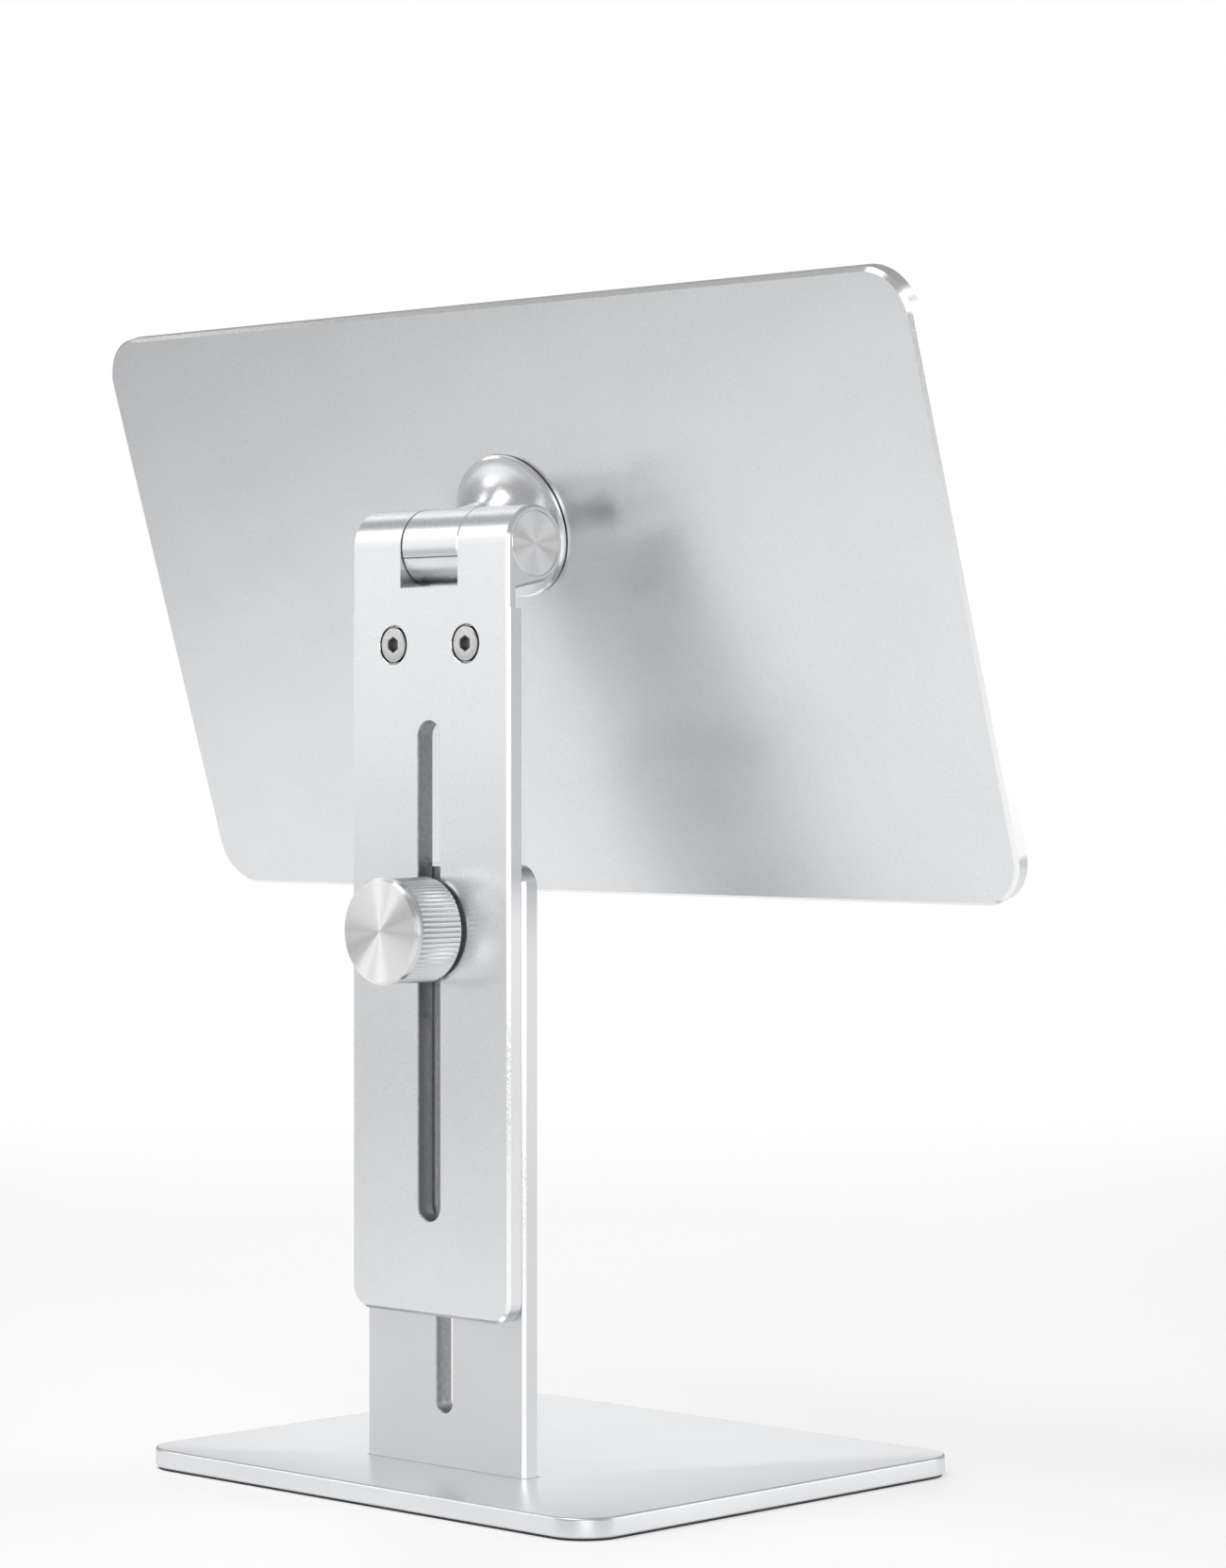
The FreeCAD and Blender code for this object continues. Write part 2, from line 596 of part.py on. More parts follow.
def hinge_pin():
    """Socket-headed screw across both ears: its head on the -X side, its thread on the +X side."""
    head_inner = -(POCKET_FLOOR_X + FLAT_WASHER_THICKNESS)
    head_outer = head_inner - PIN_HEAD_HEIGHT
    head = rod_x(PIN_HEAD_RADIUS, head_outer, head_inner)
    socket = hexagon_x(PIN_HEX_FLATS, head_outer - 1, head_outer + PIN_HEX_DEPTH)
    shank = rod_x(PIN_RADIUS, head_inner, NUT_OUTER_X)
    return at_barrel(head.fuse(shank).cut(socket))


def hinge_nut():
    nut = hexagon_x(PIN_NUT_FLATS, NUT_INNER_X, NUT_OUTER_X)
    nut = nut.common(rod_x(PIN_NUT_FLATS / 2 + PIN_NUT_CORNER_TRIM, NUT_INNER_X, NUT_OUTER_X))
    return at_barrel(nut.cut(rod_x(PIN_RADIUS, NUT_INNER_X - 1, NUT_OUTER_X + 1)))


def ring_x(outer, inner, x0, x1):
    """A flat ring about the barrel axis."""
    return rod_x(outer, x0, x1).cut(rod_x(inner, x0 - 1, x1 + 1))


def hinge_flat_washers():
    """One washer under the pin's head and one under its nut."""
    head_inner = -POCKET_FLOOR_X - FLAT_WASHER_THICKNESS
    head_side = ring_x(FLAT_WASHER_RADIUS, STACK_BORE, head_inner, -POCKET_FLOOR_X)
    nut_side = ring_x(FLAT_WASHER_RADIUS, STACK_BORE, NUT_INNER_X - FLAT_WASHER_THICKNESS, NUT_INNER_X)
    return Part.makeCompound([at_barrel(head_side), at_barrel(nut_side)])


def hinge_disc_springs():
    """Conical spring washers, stacked face to face in turn, that set the hinge's friction."""
    springs = []
    for index in range(DISC_SPRING_COUNT):
        start = POCKET_FLOOR_X + index * DISC_SPRING_PITCH
        rise_inner = DISC_SPRING_CONE if index % 2 == 0 else 0.0
        rise_outer = DISC_SPRING_CONE - rise_inner
        section = [
            Vector(start + rise_inner, STACK_BORE, 0),
            Vector(start + rise_outer, DISC_SPRING_RADIUS, 0),
            Vector(start + rise_outer + DISC_SPRING_THICKNESS, DISC_SPRING_RADIUS, 0),
            Vector(start + rise_inner + DISC_SPRING_THICKNESS, STACK_BORE, 0),
        ]
        face = Part.Face(Part.makePolygon(section + section[:1]))
        springs.append(at_barrel(face.revolve(Vector(0, 0, 0), X_AXIS, 360)))
    return Part.makeCompound(springs)


def friction_washers():
    """Thin washers between the knuckle and each ear."""
    outer_x = NOTCH_HALF - FRICTION_GAP
    washer = ring_x(FRICTION_RADIUS, STACK_BORE, outer_x - FRICTION_THICKNESS, outer_x)
    other = washer.mirror(Vector(0, 0, 0), X_AXIS)
    return Part.makeCompound([at_barrel(washer), at_barrel(other)])


def hinge_caps():
    """Turned discs pressed into the barrel ends."""
    face_x = BRACKET_HALF - CAP_SINK
    cap = rod_x(CAP_RADIUS - CAP_FIT, BRACKET_HALF - CAP_THICKNESS, face_x)
    cap = cap.makeChamfer(CAP_CHAMFER, rim_edges(cap, "X", face_x))
    return Part.makeCompound([at_barrel(cap), at_barrel(cap.mirror(Vector(0, 0, 0), X_AXIS))])


# ---- swivel head ----------------------------------------------------------------------

def tilt_knuckle():
    """Centre knuckle of the hinge, bored for its bushes and tapped for the swivel bolt."""
    body = rod_x(KNUCKLE_RADIUS, -KNUCKLE_HALF, KNUCKLE_HALF)
    rims = rim_edges(body, "X", -KNUCKLE_HALF) + rim_edges(body, "X", KNUCKLE_HALF)
    body = body.makeChamfer(KNUCKLE_CHAMFER, rims)
    body = body.cut(rod_x(PIN_RADIUS + PIN_CLEARANCE, -KNUCKLE_HALF - 1, KNUCKLE_HALF + 1))
    body = body.cut(rod_x(BUSH_RADIUS, KNUCKLE_HALF - BUSH_LENGTH, KNUCKLE_HALF + 1))
    body = body.cut(rod_x(BUSH_RADIUS, -KNUCKLE_HALF - 1, BUSH_LENGTH - KNUCKLE_HALF))
    body = body.cut(rod_y(SWIVEL_THREAD_RADIUS, -KNUCKLE_RADIUS - 1, BOLT_TIP))
    witness = block(-KNUCKLE_HALF - 1, KNUCKLE_HALF + 1, KNUCKLE_RADIUS - WITNESS_DEPTH, KNUCKLE_RADIUS + 1,
                    -WITNESS_WIDTH / 2, WITNESS_WIDTH / 2)
    return tilted(body.cut(witness))


def knuckle_bushes():
    """Plain bearing bushes pressed into both ends of the knuckle."""
    bush = ring_x(BUSH_RADIUS, PIN_RADIUS + PIN_CLEARANCE, KNUCKLE_HALF - BUSH_LENGTH, KNUCKLE_HALF)
    return Part.makeCompound([at_barrel(bush), at_barrel(bush.mirror(Vector(0, 0, 0), X_AXIS))])


def swivel_flange():
    """Trumpet-shaped flange: a thin rim at the plate, a concave flare, then a collar on the knuckle."""
    rim_top = FLANGE_BASE + FLANGE_RIM
    flare_start = Vector(FLANGE_RADIUS - RIM_LAND, rim_top, 0)
    flare_middle = Vector(FLARE_MIDDLE_RADIUS, rim_top + FLARE_MIDDLE_RISE, 0)
    flare_end = Vector(FLARE_ROOT_RADIUS, -COLLAR_REACH, 0)
    collar = [
        flare_end,
        Vector(NECK_RADIUS - COLLAR_CHAMFER, -COLLAR_REACH, 0),
        Vector(NECK_RADIUS, COLLAR_CHAMFER - COLLAR_REACH, 0),
        Vector(NECK_RADIUS, 0, 0),
        Vector(0, 0, 0),
    ]
    corners = [Vector(0, 0, 0), Vector(0, FLANGE_BASE, 0), Vector(FLANGE_RADIUS, FLANGE_BASE, 0),
               Vector(FLANGE_RADIUS, rim_top - RIM_BREAK, 0), flare_start]
    edges = []
    for start, end in zip(corners, corners[1:]):
        edges.append(Part.LineSegment(start, end).toShape())
    edges.append(Part.Arc(flare_start, flare_middle, flare_end).toShape())
    for start, end in zip(collar, collar[1:]):
        edges.append(Part.LineSegment(start, end).toShape())
    flange = Part.Face(Part.Wire(edges)).revolve(Vector(0, 0, 0), Y_AXIS, 360)
    saddle = KNUCKLE_RADIUS + SADDLE_GAP
    flange = flange.cut(rod_x(saddle, -FLANGE_RADIUS, FLANGE_RADIUS))
    reach = FLANGE_RADIUS + 1
    flange = flange.cut(block(-reach, reach, -SADDLE_REACH, reach, -reach, reach))
    flange = flange.cut(rod_y(FLANGE_POCKET_RADIUS, FLANGE_BASE - 1, FLANGE_BASE + FLANGE_POCKET_DEPTH))
    return tilted(flange.cut(rod_y(SWIVEL_SHOULDER_RADIUS + SWIVEL_RUNNING_GAP, FLANGE_BASE - 1, 0)))


def swivel_bolt():
    """Thin-headed shoulder bolt, from the plate's front recess into the knuckle."""
    head_rear = HUB_FLOOR - SWIVEL_WASHER_THICKNESS - CONTACT_GAP
    head_front = head_rear - SWIVEL_HEAD_THICKNESS
    head = rod_y(SWIVEL_HEAD_RADIUS, head_front, head_rear)
    shoulder = rod_y(SWIVEL_SHOULDER_RADIUS, head_rear, BOLT_TIP - CONTACT_GAP)
    socket = hexagon_y(SWIVEL_HEX_FLATS, head_front - 1, head_front + SWIVEL_HEX_DEPTH)
    return tilted(head.fuse(shoulder).cut(socket))


def ring_y(outer, inner, y0, y1):
    """A flat ring about the swivel axis."""
    return rod_y(outer, y0, y1).cut(rod_y(inner, y0 - 1, y1 + 1))


def swivel_washer_front():
    """Friction washer between the bolt's head and the plate."""
    bore = SWIVEL_SHOULDER_RADIUS + SWIVEL_RING_GAP
    return tilted(ring_y(SWIVEL_WASHER_RADIUS, bore, HUB_FLOOR - SWIVEL_WASHER_THICKNESS, HUB_FLOOR))


def swivel_washer_rear():
    """Friction washer between the flange's spring and the plate."""
    front = PLATE_REAR + CONTACT_GAP
    bore = SWIVEL_SHOULDER_RADIUS + SWIVEL_RING_GAP
    radius = FLANGE_POCKET_RADIUS - WASHER_POCKET_GAP
    return tilted(ring_y(radius, bore, front, front + SWIVEL_WASHER_THICKNESS))


def swivel_spring():
    """Conical spring washer in the flange's pocket."""
    low = PLATE_REAR + CONTACT_GAP + SWIVEL_WASHER_THICKNESS
    high = FLANGE_BASE + FLANGE_POCKET_DEPTH
    thickness = (high - low) * SPRING_SHARE
    inner = SWIVEL_SHOULDER_RADIUS + SWIVEL_RING_GAP
    outer = FLANGE_POCKET_RADIUS - WASHER_POCKET_GAP
    section = [
        Vector(inner, high - thickness, 0),
        Vector(inner, high, 0),
        Vector(outer, low + thickness, 0),
        Vector(outer, low, 0),
    ]
    face = Part.Face(Part.makePolygon(section + section[:1]))
    return tilted(face.revolve(Vector(0, 0, 0), Y_AXIS, 360))


# ---- plate for the tablet -------------------------------------------------------------

def rounded_sheet(inset, y0, y1, corner):
    """A rounded rectangle in the plate's frame, smaller than the plate by an inset."""
    half_width = PLATE_WIDTH / 2 - inset
    low = -PLATE_CENTRE_DROP - PLATE_HEIGHT / 2 + inset
    high = -PLATE_CENTRE_DROP + PLATE_HEIGHT / 2 - inset
    sheet = block(-half_width, half_width, y0, y1, low, high)
    return sheet.makeFillet(corner, [e for e in sheet.Edges if along(e, Y_AXIS)])


def magnet_blocks(growth, y0, y1):
    """The magnets, or with some growth the pockets that they lie in."""
    blocks = []
    for x in MAGNET_COLUMNS_X:
        for row in MAGNET_ROWS_Z:
            half_x = MAGNET_WIDTH / 2 + growth
            half_z = MAGNET_HEIGHT / 2 + growth
            z = row - PLATE_CENTRE_DROP
            blocks.append(block(x - half_x, x + half_x, y0, y1, z - half_z, z + half_z))
    return blocks


def magnet_plate():
    plate = rounded_sheet(0, PLATE_FRONT, PLATE_REAR, PLATE_CORNER)
    plate = plate.makeChamfer(PLATE_CHAMFER, rim_edges(plate, "Y", PLATE_REAR))
    plate = plate.makeChamfer(PLATE_FRONT_CHAMFER, rim_edges(plate, "Y", PLATE_FRONT))
    recess_corner = PLATE_CORNER - FRONT_RECESS_INSET
    plate = plate.cut(rounded_sheet(FRONT_RECESS_INSET, PLATE_FRONT - 1, RECESS_FLOOR, recess_corner))
    pocket_rear = RECESS_FLOOR + MAGNET_THICKNESS + MAGNET_CLEARANCE
    for pocket in magnet_blocks(MAGNET_CLEARANCE, RECESS_FLOOR - 1, pocket_rear):
        plate = plate.cut(pocket)
    plate = plate.cut(rod_y(HUB_RECESS_RADIUS, PLATE_FRONT - 1, HUB_FLOOR))
    return tilted(plate.cut(rod_y(HUB_BORE_RADIUS, PLATE_FRONT - 1, PLATE_REAR + 1)))


def magnets():
    blocks = magnet_blocks(0, RECESS_FLOOR, RECESS_FLOOR + MAGNET_THICKNESS)
    return tilted(Part.makeCompound(blocks))


def front_pad():
    """Soft cover over the magnets and the bolt, let into the plate's front face."""
    inset = FRONT_RECESS_INSET + FRONT_PAD_GAP
    front = RECESS_FLOOR - FRONT_PAD_THICKNESS
    pad = rounded_sheet(inset, front, RECESS_FLOOR, PLATE_CORNER - inset)
    return tilted(pad.makeChamfer(FRONT_PAD_CHAMFER, rim_edges(pad, "Y", front)))


# ---- write every piece ----------------------------------------------------------------

PIECES = {
    "base_plate": base_plate,
    "base_pad": base_pad,
    "column_screws": column_screws,
    "column_lower": column_lower,
    "slide_liners": slide_liners,
    "clamp_nut": clamp_nut,
    "column_upper": column_upper,
    "guide_bush": guide_bush,
    "guide_screw": guide_screw,
    "clamp_knob": clamp_knob,
    "clamp_stud": clamp_stud,
    "clamp_washer": clamp_washer,
    "hinge_bracket": hinge_bracket,
    "bracket_screws": bracket_screws,
    "hinge_pin": hinge_pin,
    "hinge_nut": hinge_nut,
    "hinge_flat_washers": hinge_flat_washers,
    "hinge_disc_springs": hinge_disc_springs,
    "friction_washers": friction_washers,
    "hinge_caps": hinge_caps,
    "tilt_knuckle": tilt_knuckle,
    "knuckle_bushes": knuckle_bushes,
    "swivel_flange": swivel_flange,
    "swivel_bolt": swivel_bolt,
    "swivel_washer_front": swivel_washer_front,
    "swivel_washer_rear": swivel_washer_rear,
    "swivel_spring": swivel_spring,
    "magnet_plate": magnet_plate,
    "magnets": magnets,
    "front_pad": front_pad,
}


def main():
    os.makedirs("parts", exist_ok=True)
    for name, make in PIECES.items():
        shape = make()
        if not shape.isValid():
            raise ValueError("invalid shape: " + name)
        shape.exportStep(os.path.join("parts", name + ".step"))
        print(name, len(shape.Solids), "solids", round(shape.Volume, 1), "mm3")


main()
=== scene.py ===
"""Looks of the height-adjustable magnetic tablet stand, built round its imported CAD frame.

Every piece is made in metres in the CAD's own frame: +Z up, -Y towards the user, +Y to the
rear. Sizes written here are in millimetres and are turned into metres by MM. Places come
from the frame's boxes and joints.
"""
import json
import math

import bmesh
import bpy
from mathutils import Matrix, Vector


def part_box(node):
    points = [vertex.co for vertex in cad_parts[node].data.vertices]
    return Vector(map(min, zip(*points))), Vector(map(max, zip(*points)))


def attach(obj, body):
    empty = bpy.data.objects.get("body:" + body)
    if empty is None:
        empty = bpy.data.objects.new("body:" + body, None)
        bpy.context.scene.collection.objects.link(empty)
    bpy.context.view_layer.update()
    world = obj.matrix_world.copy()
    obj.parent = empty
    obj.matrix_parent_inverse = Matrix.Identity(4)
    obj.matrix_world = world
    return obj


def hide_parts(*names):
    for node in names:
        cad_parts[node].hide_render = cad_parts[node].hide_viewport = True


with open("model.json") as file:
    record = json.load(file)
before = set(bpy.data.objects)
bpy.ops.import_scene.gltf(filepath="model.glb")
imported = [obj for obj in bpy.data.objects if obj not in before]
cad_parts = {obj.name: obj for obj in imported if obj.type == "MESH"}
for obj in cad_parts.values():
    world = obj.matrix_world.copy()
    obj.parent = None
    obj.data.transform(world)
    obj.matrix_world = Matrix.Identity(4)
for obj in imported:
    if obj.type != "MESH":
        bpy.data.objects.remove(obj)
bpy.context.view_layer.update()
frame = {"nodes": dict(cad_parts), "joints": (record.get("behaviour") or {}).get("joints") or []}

MM = 0.001
PI = math.pi

# ---- shared details of the design, in millimetres ---------------------------------------

COLUMN_CHAMFER = 0.68
COLUMN_CORNER = 5.0
LOWER_SLOT = (4.8, 16.8, 105.1)
UPPER_SLOT = (6.8, 59.6, 169.9)
SLOT_CHAMFER = 0.25
SCREW_BORE_RADIUS = 4.35
SCREW_BORE_DEPTH = 2.1
SCREW_BORE_CHAMFER = 0.12
NUT_BORE_RADIUS = 4.5
BASE_CORNER = 10.0
BASE_EDGE = 0.6
BASE_LOWER_EDGE = 0.35
BASE_EDGE_STEPS = 5
GROOVE_GAP = 0.15
GROOVE_DEPTH = 1.0
PLATE_CORNER = 11.0
PLATE_CHAMFER = 0.8
PLATE_FRONT_CHAMFER = 0.4
FRONT_RECESS_INSET = 1.6
FRONT_RECESS_DEPTH = 0.5
FRONT_RECESS_CHAMFER = 0.1
PLATE_CENTRE_DROP = 18.6
PLATE_HEIGHT = 137.7
PLATE_THICKNESS = 4.0
PLATE_REAR = -18.34
BRACKET_EDGE_BAND = 0.7
BRACKET_SLOPE = (0.25, 0.95)
CAP_THICKNESS = 1.4
CAP_EDGE = 0.18
CAP_DISH = 0.08
KNOB_BASE_CHAMFER = 0.45
KNOB_END_CHAMFER = 0.6
KNOB_PLAIN_BAND = 2.2
KNOB_BAND_STEP = 0.1
KNOB_DISH_MARGIN = 0.9
KNOB_DISH_DEPTHS = (0.05, 0.12, 0.14)
KNURL_TEETH = 60
KNURL_CREST = 0.05
KNURL_DEPTH = 0.45
KNURL_FADE = 0.5
KNURL_STEPS = 8
KNUCKLE_RADIUS = 8.5
KNUCKLE_CHAMFER = 0.25
WITNESS_WIDTH = 0.3
WITNESS_DEPTH = 0.2
FLANGE_RADIUS = 16.4
FLANGE_RIM_BAND = 0.45
COLLAR_RADIUS = 7.8
COLLAR_REACH = 9.2
COLLAR_BAND = 0.3
COLLAR_DEPTH = 0.4
COLLAR_SLOPE = (0.3, 0.95)
SOCKET_FLATS = 3.0
SOCKET_DEPTH = 1.5
SOCKET_SIDES = 6
SOCKET_MOUTH = 0.16
SOCKET_THROAT = 0.14
HEAD_ROUND = 0.3
HEAD_ROUND_STEPS = 4

joints = {j["name"]: j for j in frame["joints"]}
BARREL = Vector(joints["tilt"]["pos_m"])
SWIVEL_AXIS = Vector(joints["swivel"]["axis"]).normalized()
PLATE_FRAME = Matrix.Translation(BARREL) @ Matrix((
    (1, 0, 0, 0),
    (0, SWIVEL_AXIS.y, -SWIVEL_AXIS.z, 0),
    (0, SWIVEL_AXIS.z, SWIVEL_AXIS.y, 0),
    (0, 0, 0, 1),
))


# ---- materials --------------------------------------------------------------------------

NOISE_LOW = 0.3
NOISE_HIGH = 0.7
SATIN_TONE = (0.80, 0.81, 0.825)


def shade(tone, factor):
    """A darker tone of the same hue."""
    return tuple(c * factor for c in tone)


def add_object(name, data):
    """A new object in the scene."""
    made = bpy.data.objects.new(name, data)
    bpy.context.scene.collection.objects.link(made)
    return made


class Shader:
    """A Principled material with short helpers for its node tree."""

    def __init__(self, name, color, metallic, roughness, **sockets):
        self.material = bpy.data.materials.new(name)
        self.material.use_nodes = True
        self.tree = self.material.node_tree
        self.bsdf = self.tree.nodes["Principled BSDF"]
        self.bsdf.inputs["Base Color"].default_value = (*color, 1)
        self.bsdf.inputs["Metallic"].default_value = metallic
        self.bsdf.inputs["Roughness"].default_value = roughness
        for key, value in sockets.items():
            self.bsdf.inputs[key.replace("_", " ")].default_value = value
        self.coordinates = self.node("ShaderNodeTexCoord").outputs["Object"]

    def node(self, kind, **settings):
        made = self.tree.nodes.new(kind)
        for key, value in settings.items():
            setattr(made, key, value)
        return made

    def link(self, source, target):
        self.tree.links.new(source, target)

    def noise(self, scale, detail=2.0, stretch=None, roughness=0.5):
        """Noise in the object's own coordinates, in features per metre."""
        texture = self.node("ShaderNodeTexNoise")
        texture.inputs["Scale"].default_value = scale
        texture.inputs["Detail"].default_value = detail
        texture.inputs["Roughness"].default_value = roughness
        source = self.coordinates
        if stretch is not None:
            mapping = self.node("ShaderNodeMapping")
            mapping.inputs["Scale"].default_value = stretch
            self.link(source, mapping.inputs["Vector"])
            source = mapping.outputs["Vector"]
        self.link(source, texture.inputs["Vector"])
        return texture.outputs["Fac"]

    def span(self, value, low, high):
        """Maps noise, from its usual range, to a range of its own."""
        node = self.node("ShaderNodeMapRange")
        node.inputs["From Min"].default_value = NOISE_LOW
        node.inputs["From Max"].default_value = NOISE_HIGH
        node.inputs["To Min"].default_value = low
        node.inputs["To Max"].default_value = high
        self.link(value, node.inputs["Value"])
        return node.outputs["Result"]

    def mix_colors(self, factor, first, second):
        """Blends two colours by a factor."""
        node = self.node("ShaderNodeMix", data_type="RGBA")
        node.inputs["A"].default_value = (*first, 1)
        node.inputs["B"].default_value = (*second, 1)
        self.link(factor, node.inputs["Factor"])
        return node.outputs["Result"]

    def bump(self, height, strength, distance):
        """A bump from a height value, in metres."""
        node = self.node("ShaderNodeBump")
        node.inputs["Strength"].default_value = strength
        node.inputs["Distance"].default_value = distance
        self.link(height, node.inputs["Height"])
        return node.outputs["Normal"]


def blasted_aluminium(name, tone=SATIN_TONE, roughness=0.30):
    """Bead-blasted, clear anodised aluminium: a fine even grain with slight cloudiness."""
    s = Shader(name, tone, 1.0, roughness)
    cloud = s.noise(scale=35.0, detail=3.0)
    s.link(s.mix_colors(s.span(cloud, 0, 1), tone, shade(tone, 0.965)), s.bsdf.inputs["Base Color"])
    grain = s.noise(scale=5200.0, detail=2.0)
    spread = 0.05
    s.link(s.span(grain, roughness - spread, roughness + spread), s.bsdf.inputs["Roughness"])
    s.link(s.bump(grain, strength=0.22, distance=0.000012), s.bsdf.inputs["Normal"])
    return s.material


def bright_cut(name):
    """Diamond-cut chamfer: bright metal with faint tool lines."""
    s = Shader(name, (0.93, 0.935, 0.94), metallic=1.0, roughness=0.16)
    lines = s.noise(scale=2600.0, detail=1.0)
    s.link(s.span(lines, low=0.12, high=0.24), s.bsdf.inputs["Roughness"])
    s.link(s.bump(lines, strength=0.10, distance=0.000006), s.bsdf.inputs["Normal"])
    return s.material


def turned_face(name):
    """Spun end face: concentric tool marks round the piece's own Z axis."""
    s = Shader(name, (0.96, 0.96, 0.96), metallic=1.0, roughness=0.42,
               Anisotropic=1.0, Anisotropic_Rotation=0.25)
    tangent = s.node("ShaderNodeTangent", direction_type="RADIAL", axis="Z")
    s.link(tangent.outputs["Tangent"], s.bsdf.inputs["Tangent"])
    flat = s.node("ShaderNodeVectorMath", operation="MULTIPLY")
    flat.inputs[1].default_value = (1, 1, 0)
    s.link(s.coordinates, flat.inputs[0])
    radius = s.node("ShaderNodeVectorMath", operation="LENGTH")
    s.link(flat.outputs["Vector"], radius.inputs[0])
    rings = s.node("ShaderNodeTexNoise", noise_dimensions="1D")
    rings.inputs["Scale"].default_value = 4500.0
    rings.inputs["Detail"].default_value = 2.0
    s.link(radius.outputs["Value"], rings.inputs["W"])
    s.link(s.span(rings.outputs["Fac"], low=0.38, high=0.46), s.bsdf.inputs["Roughness"])
    s.link(s.bump(rings.outputs["Fac"], strength=0.05, distance=0.000003), s.bsdf.inputs["Normal"])
    return s.material


def satin_steel(name, tone=(0.66, 0.665, 0.67), roughness=0.32):
    """Plain stainless fastener: slight scuffs and uneven gloss."""
    s = Shader(name, tone, 1.0, roughness)
    scuffs = s.noise(scale=900.0, detail=4.0, roughness=0.65)
    smoother, rougher = 0.08, 0.10
    s.link(s.span(scuffs, roughness - smoother, roughness + rougher), s.bsdf.inputs["Roughness"])
    s.link(s.mix_colors(s.span(scuffs, 0, 1), tone, shade(tone, 0.9)), s.bsdf.inputs["Base Color"])
    s.link(s.bump(scuffs, strength=0.12, distance=0.00001), s.bsdf.inputs["Normal"])
    return s.material


def silicone(name, tone, roughness=0.62):
    """Soft moulded silicone with a fine spark-eroded grain and a little dust."""
    s = Shader(name, tone, metallic=0.0, roughness=roughness, IOR=1.43)
    grain = s.noise(scale=2400.0, detail=3.0)
    gain, lift = 1.12, 0.002
    dusty = tuple(c * gain + lift for c in tone)
    dust = s.noise(scale=60.0, detail=4.0)
    s.link(s.mix_colors(s.span(dust, 0, 1), tone, dusty), s.bsdf.inputs["Base Color"])
    spread = 0.08
    s.link(s.span(grain, roughness - spread, roughness + spread), s.bsdf.inputs["Roughness"])
    s.link(s.bump(grain, strength=0.35, distance=0.00003), s.bsdf.inputs["Normal"])
    return s.material


def plain_plastic(name, tone):
    """Natural low-friction plastic: waxy, with faint flow marks."""
    s = Shader(name, tone, metallic=0.0, roughness=0.45)
    flow = s.noise(scale=220.0, detail=3.0, stretch=(1, 1, 4))
    s.link(s.span(flow, low=0.36, high=0.52), s.bsdf.inputs["Roughness"])
    s.link(s.mix_colors(s.span(flow, 0, 1), tone, shade(tone, 0.93)), s.bsdf.inputs["Base Color"])
    s.link(s.bump(flow, strength=0.15, distance=0.00002), s.bsdf.inputs["Normal"])
    return s.material


SATIN = blasted_aluminium("satin_aluminium")
SATIN_BASE = blasted_aluminium("satin_base", SATIN_TONE, 0.34)
# Lower column: a darker, rougher copy of the satin aluminium that paints the shade it stands in below the
# slider.
SATIN_LOWER_SHADED = blasted_aluminium("satin_lower_column_shaded", (0.70, 0.71, 0.725), 0.36)
KNURL = blasted_aluminium("knurled_aluminium", (0.86, 0.865, 0.87), 0.24)
# Walls of slots and through-holes: a dark tone that paints the shade inside them.
SLOT_WALL_SHADE = satin_steel("slot_wall_painted_shade", (0.36, 0.365, 0.375), 0.42)
BRIGHT = bright_cut("bright_chamfer")
TURNED = turned_face("turned_aluminium")
STEEL = satin_steel("satin_steel")
# Hex sockets and the knuckle's witness groove: a dark tone that paints the shade inside these recesses.
SOCKET_AND_GROOVE_SHADE = satin_steel("socket_and_groove_painted_shade", (0.28, 0.28, 0.29), 0.45)
# Screw head sides: near black, a painted shadow in the gap between head and counterbore.
HEAD_SIDE_SHADOW = satin_steel("screw_head_side_painted_shadow", (0.06, 0.06, 0.065), 0.50)
SPRING = satin_steel("spring_steel", (0.35, 0.35, 0.36), 0.38)
NICKEL = satin_steel("nickel_plate", (0.66, 0.64, 0.60), 0.22)
BRONZE = satin_steel("sintered_bronze", (0.62, 0.42, 0.20), 0.48)
PAD_DARK = silicone("pad_silicone", (0.030, 0.030, 0.033))
FRONT_DARK = silicone("front_silicone", (0.055, 0.056, 0.060), 0.58)
PLASTIC = plain_plastic("liner_plastic", (0.82, 0.82, 0.79))


# ---- mesh helpers -----------------------------------------------------------------------

def arc(centre_x, centre_z, radius, start, end, steps):
    """Points round an arc, angles in degrees, counter-clockwise."""
    points = []
    for step in range(steps + 1):
        turn = math.radians(start + (end - start) * step / steps)
        points.append((centre_x + radius * math.cos(turn), centre_z + radius * math.sin(turn)))
    return points


def circle(x, z, radius, steps=64):
    return arc(x, z, radius, 0, 360 * (steps - 1) / steps, steps - 1)


def slot_outline(width, low, high, growth, steps=20):
    """An upright slot with round ends, grown all round."""
    radius = width / 2
    top = arc(0, high - radius, radius + growth, 0, 180, steps)
    return top + arc(0, low + radius, radius + growth, 180, 360, steps)


def rect_outline(half_width, low, high, corners, inset,
                 keep_low=False, keep_high=False, steps=14):
    """A rounded rectangle, inset all round, with (lower, upper) corner radii.

    An edge that is kept stays at its own height, as where it butts against another piece.
    """
    x = half_width - inset
    z0 = low if keep_low else low + inset
    z1 = high if keep_high else high - inset
    points = []
    for radius, z, side, start in ((corners[1], z1, 1, 0), (corners[1], z1, -1, 90),
                                   (corners[0], z0, -1, 180), (corners[0], z0, 1, 270)):
        r = max(radius - inset, 0)
        cz = z - r if start < 180 else z + r
        if r > 0:
            points += arc(side * (x - r), cz, r, start, start + 90, steps)
        else:
            points.append((side * x, z))
    return points


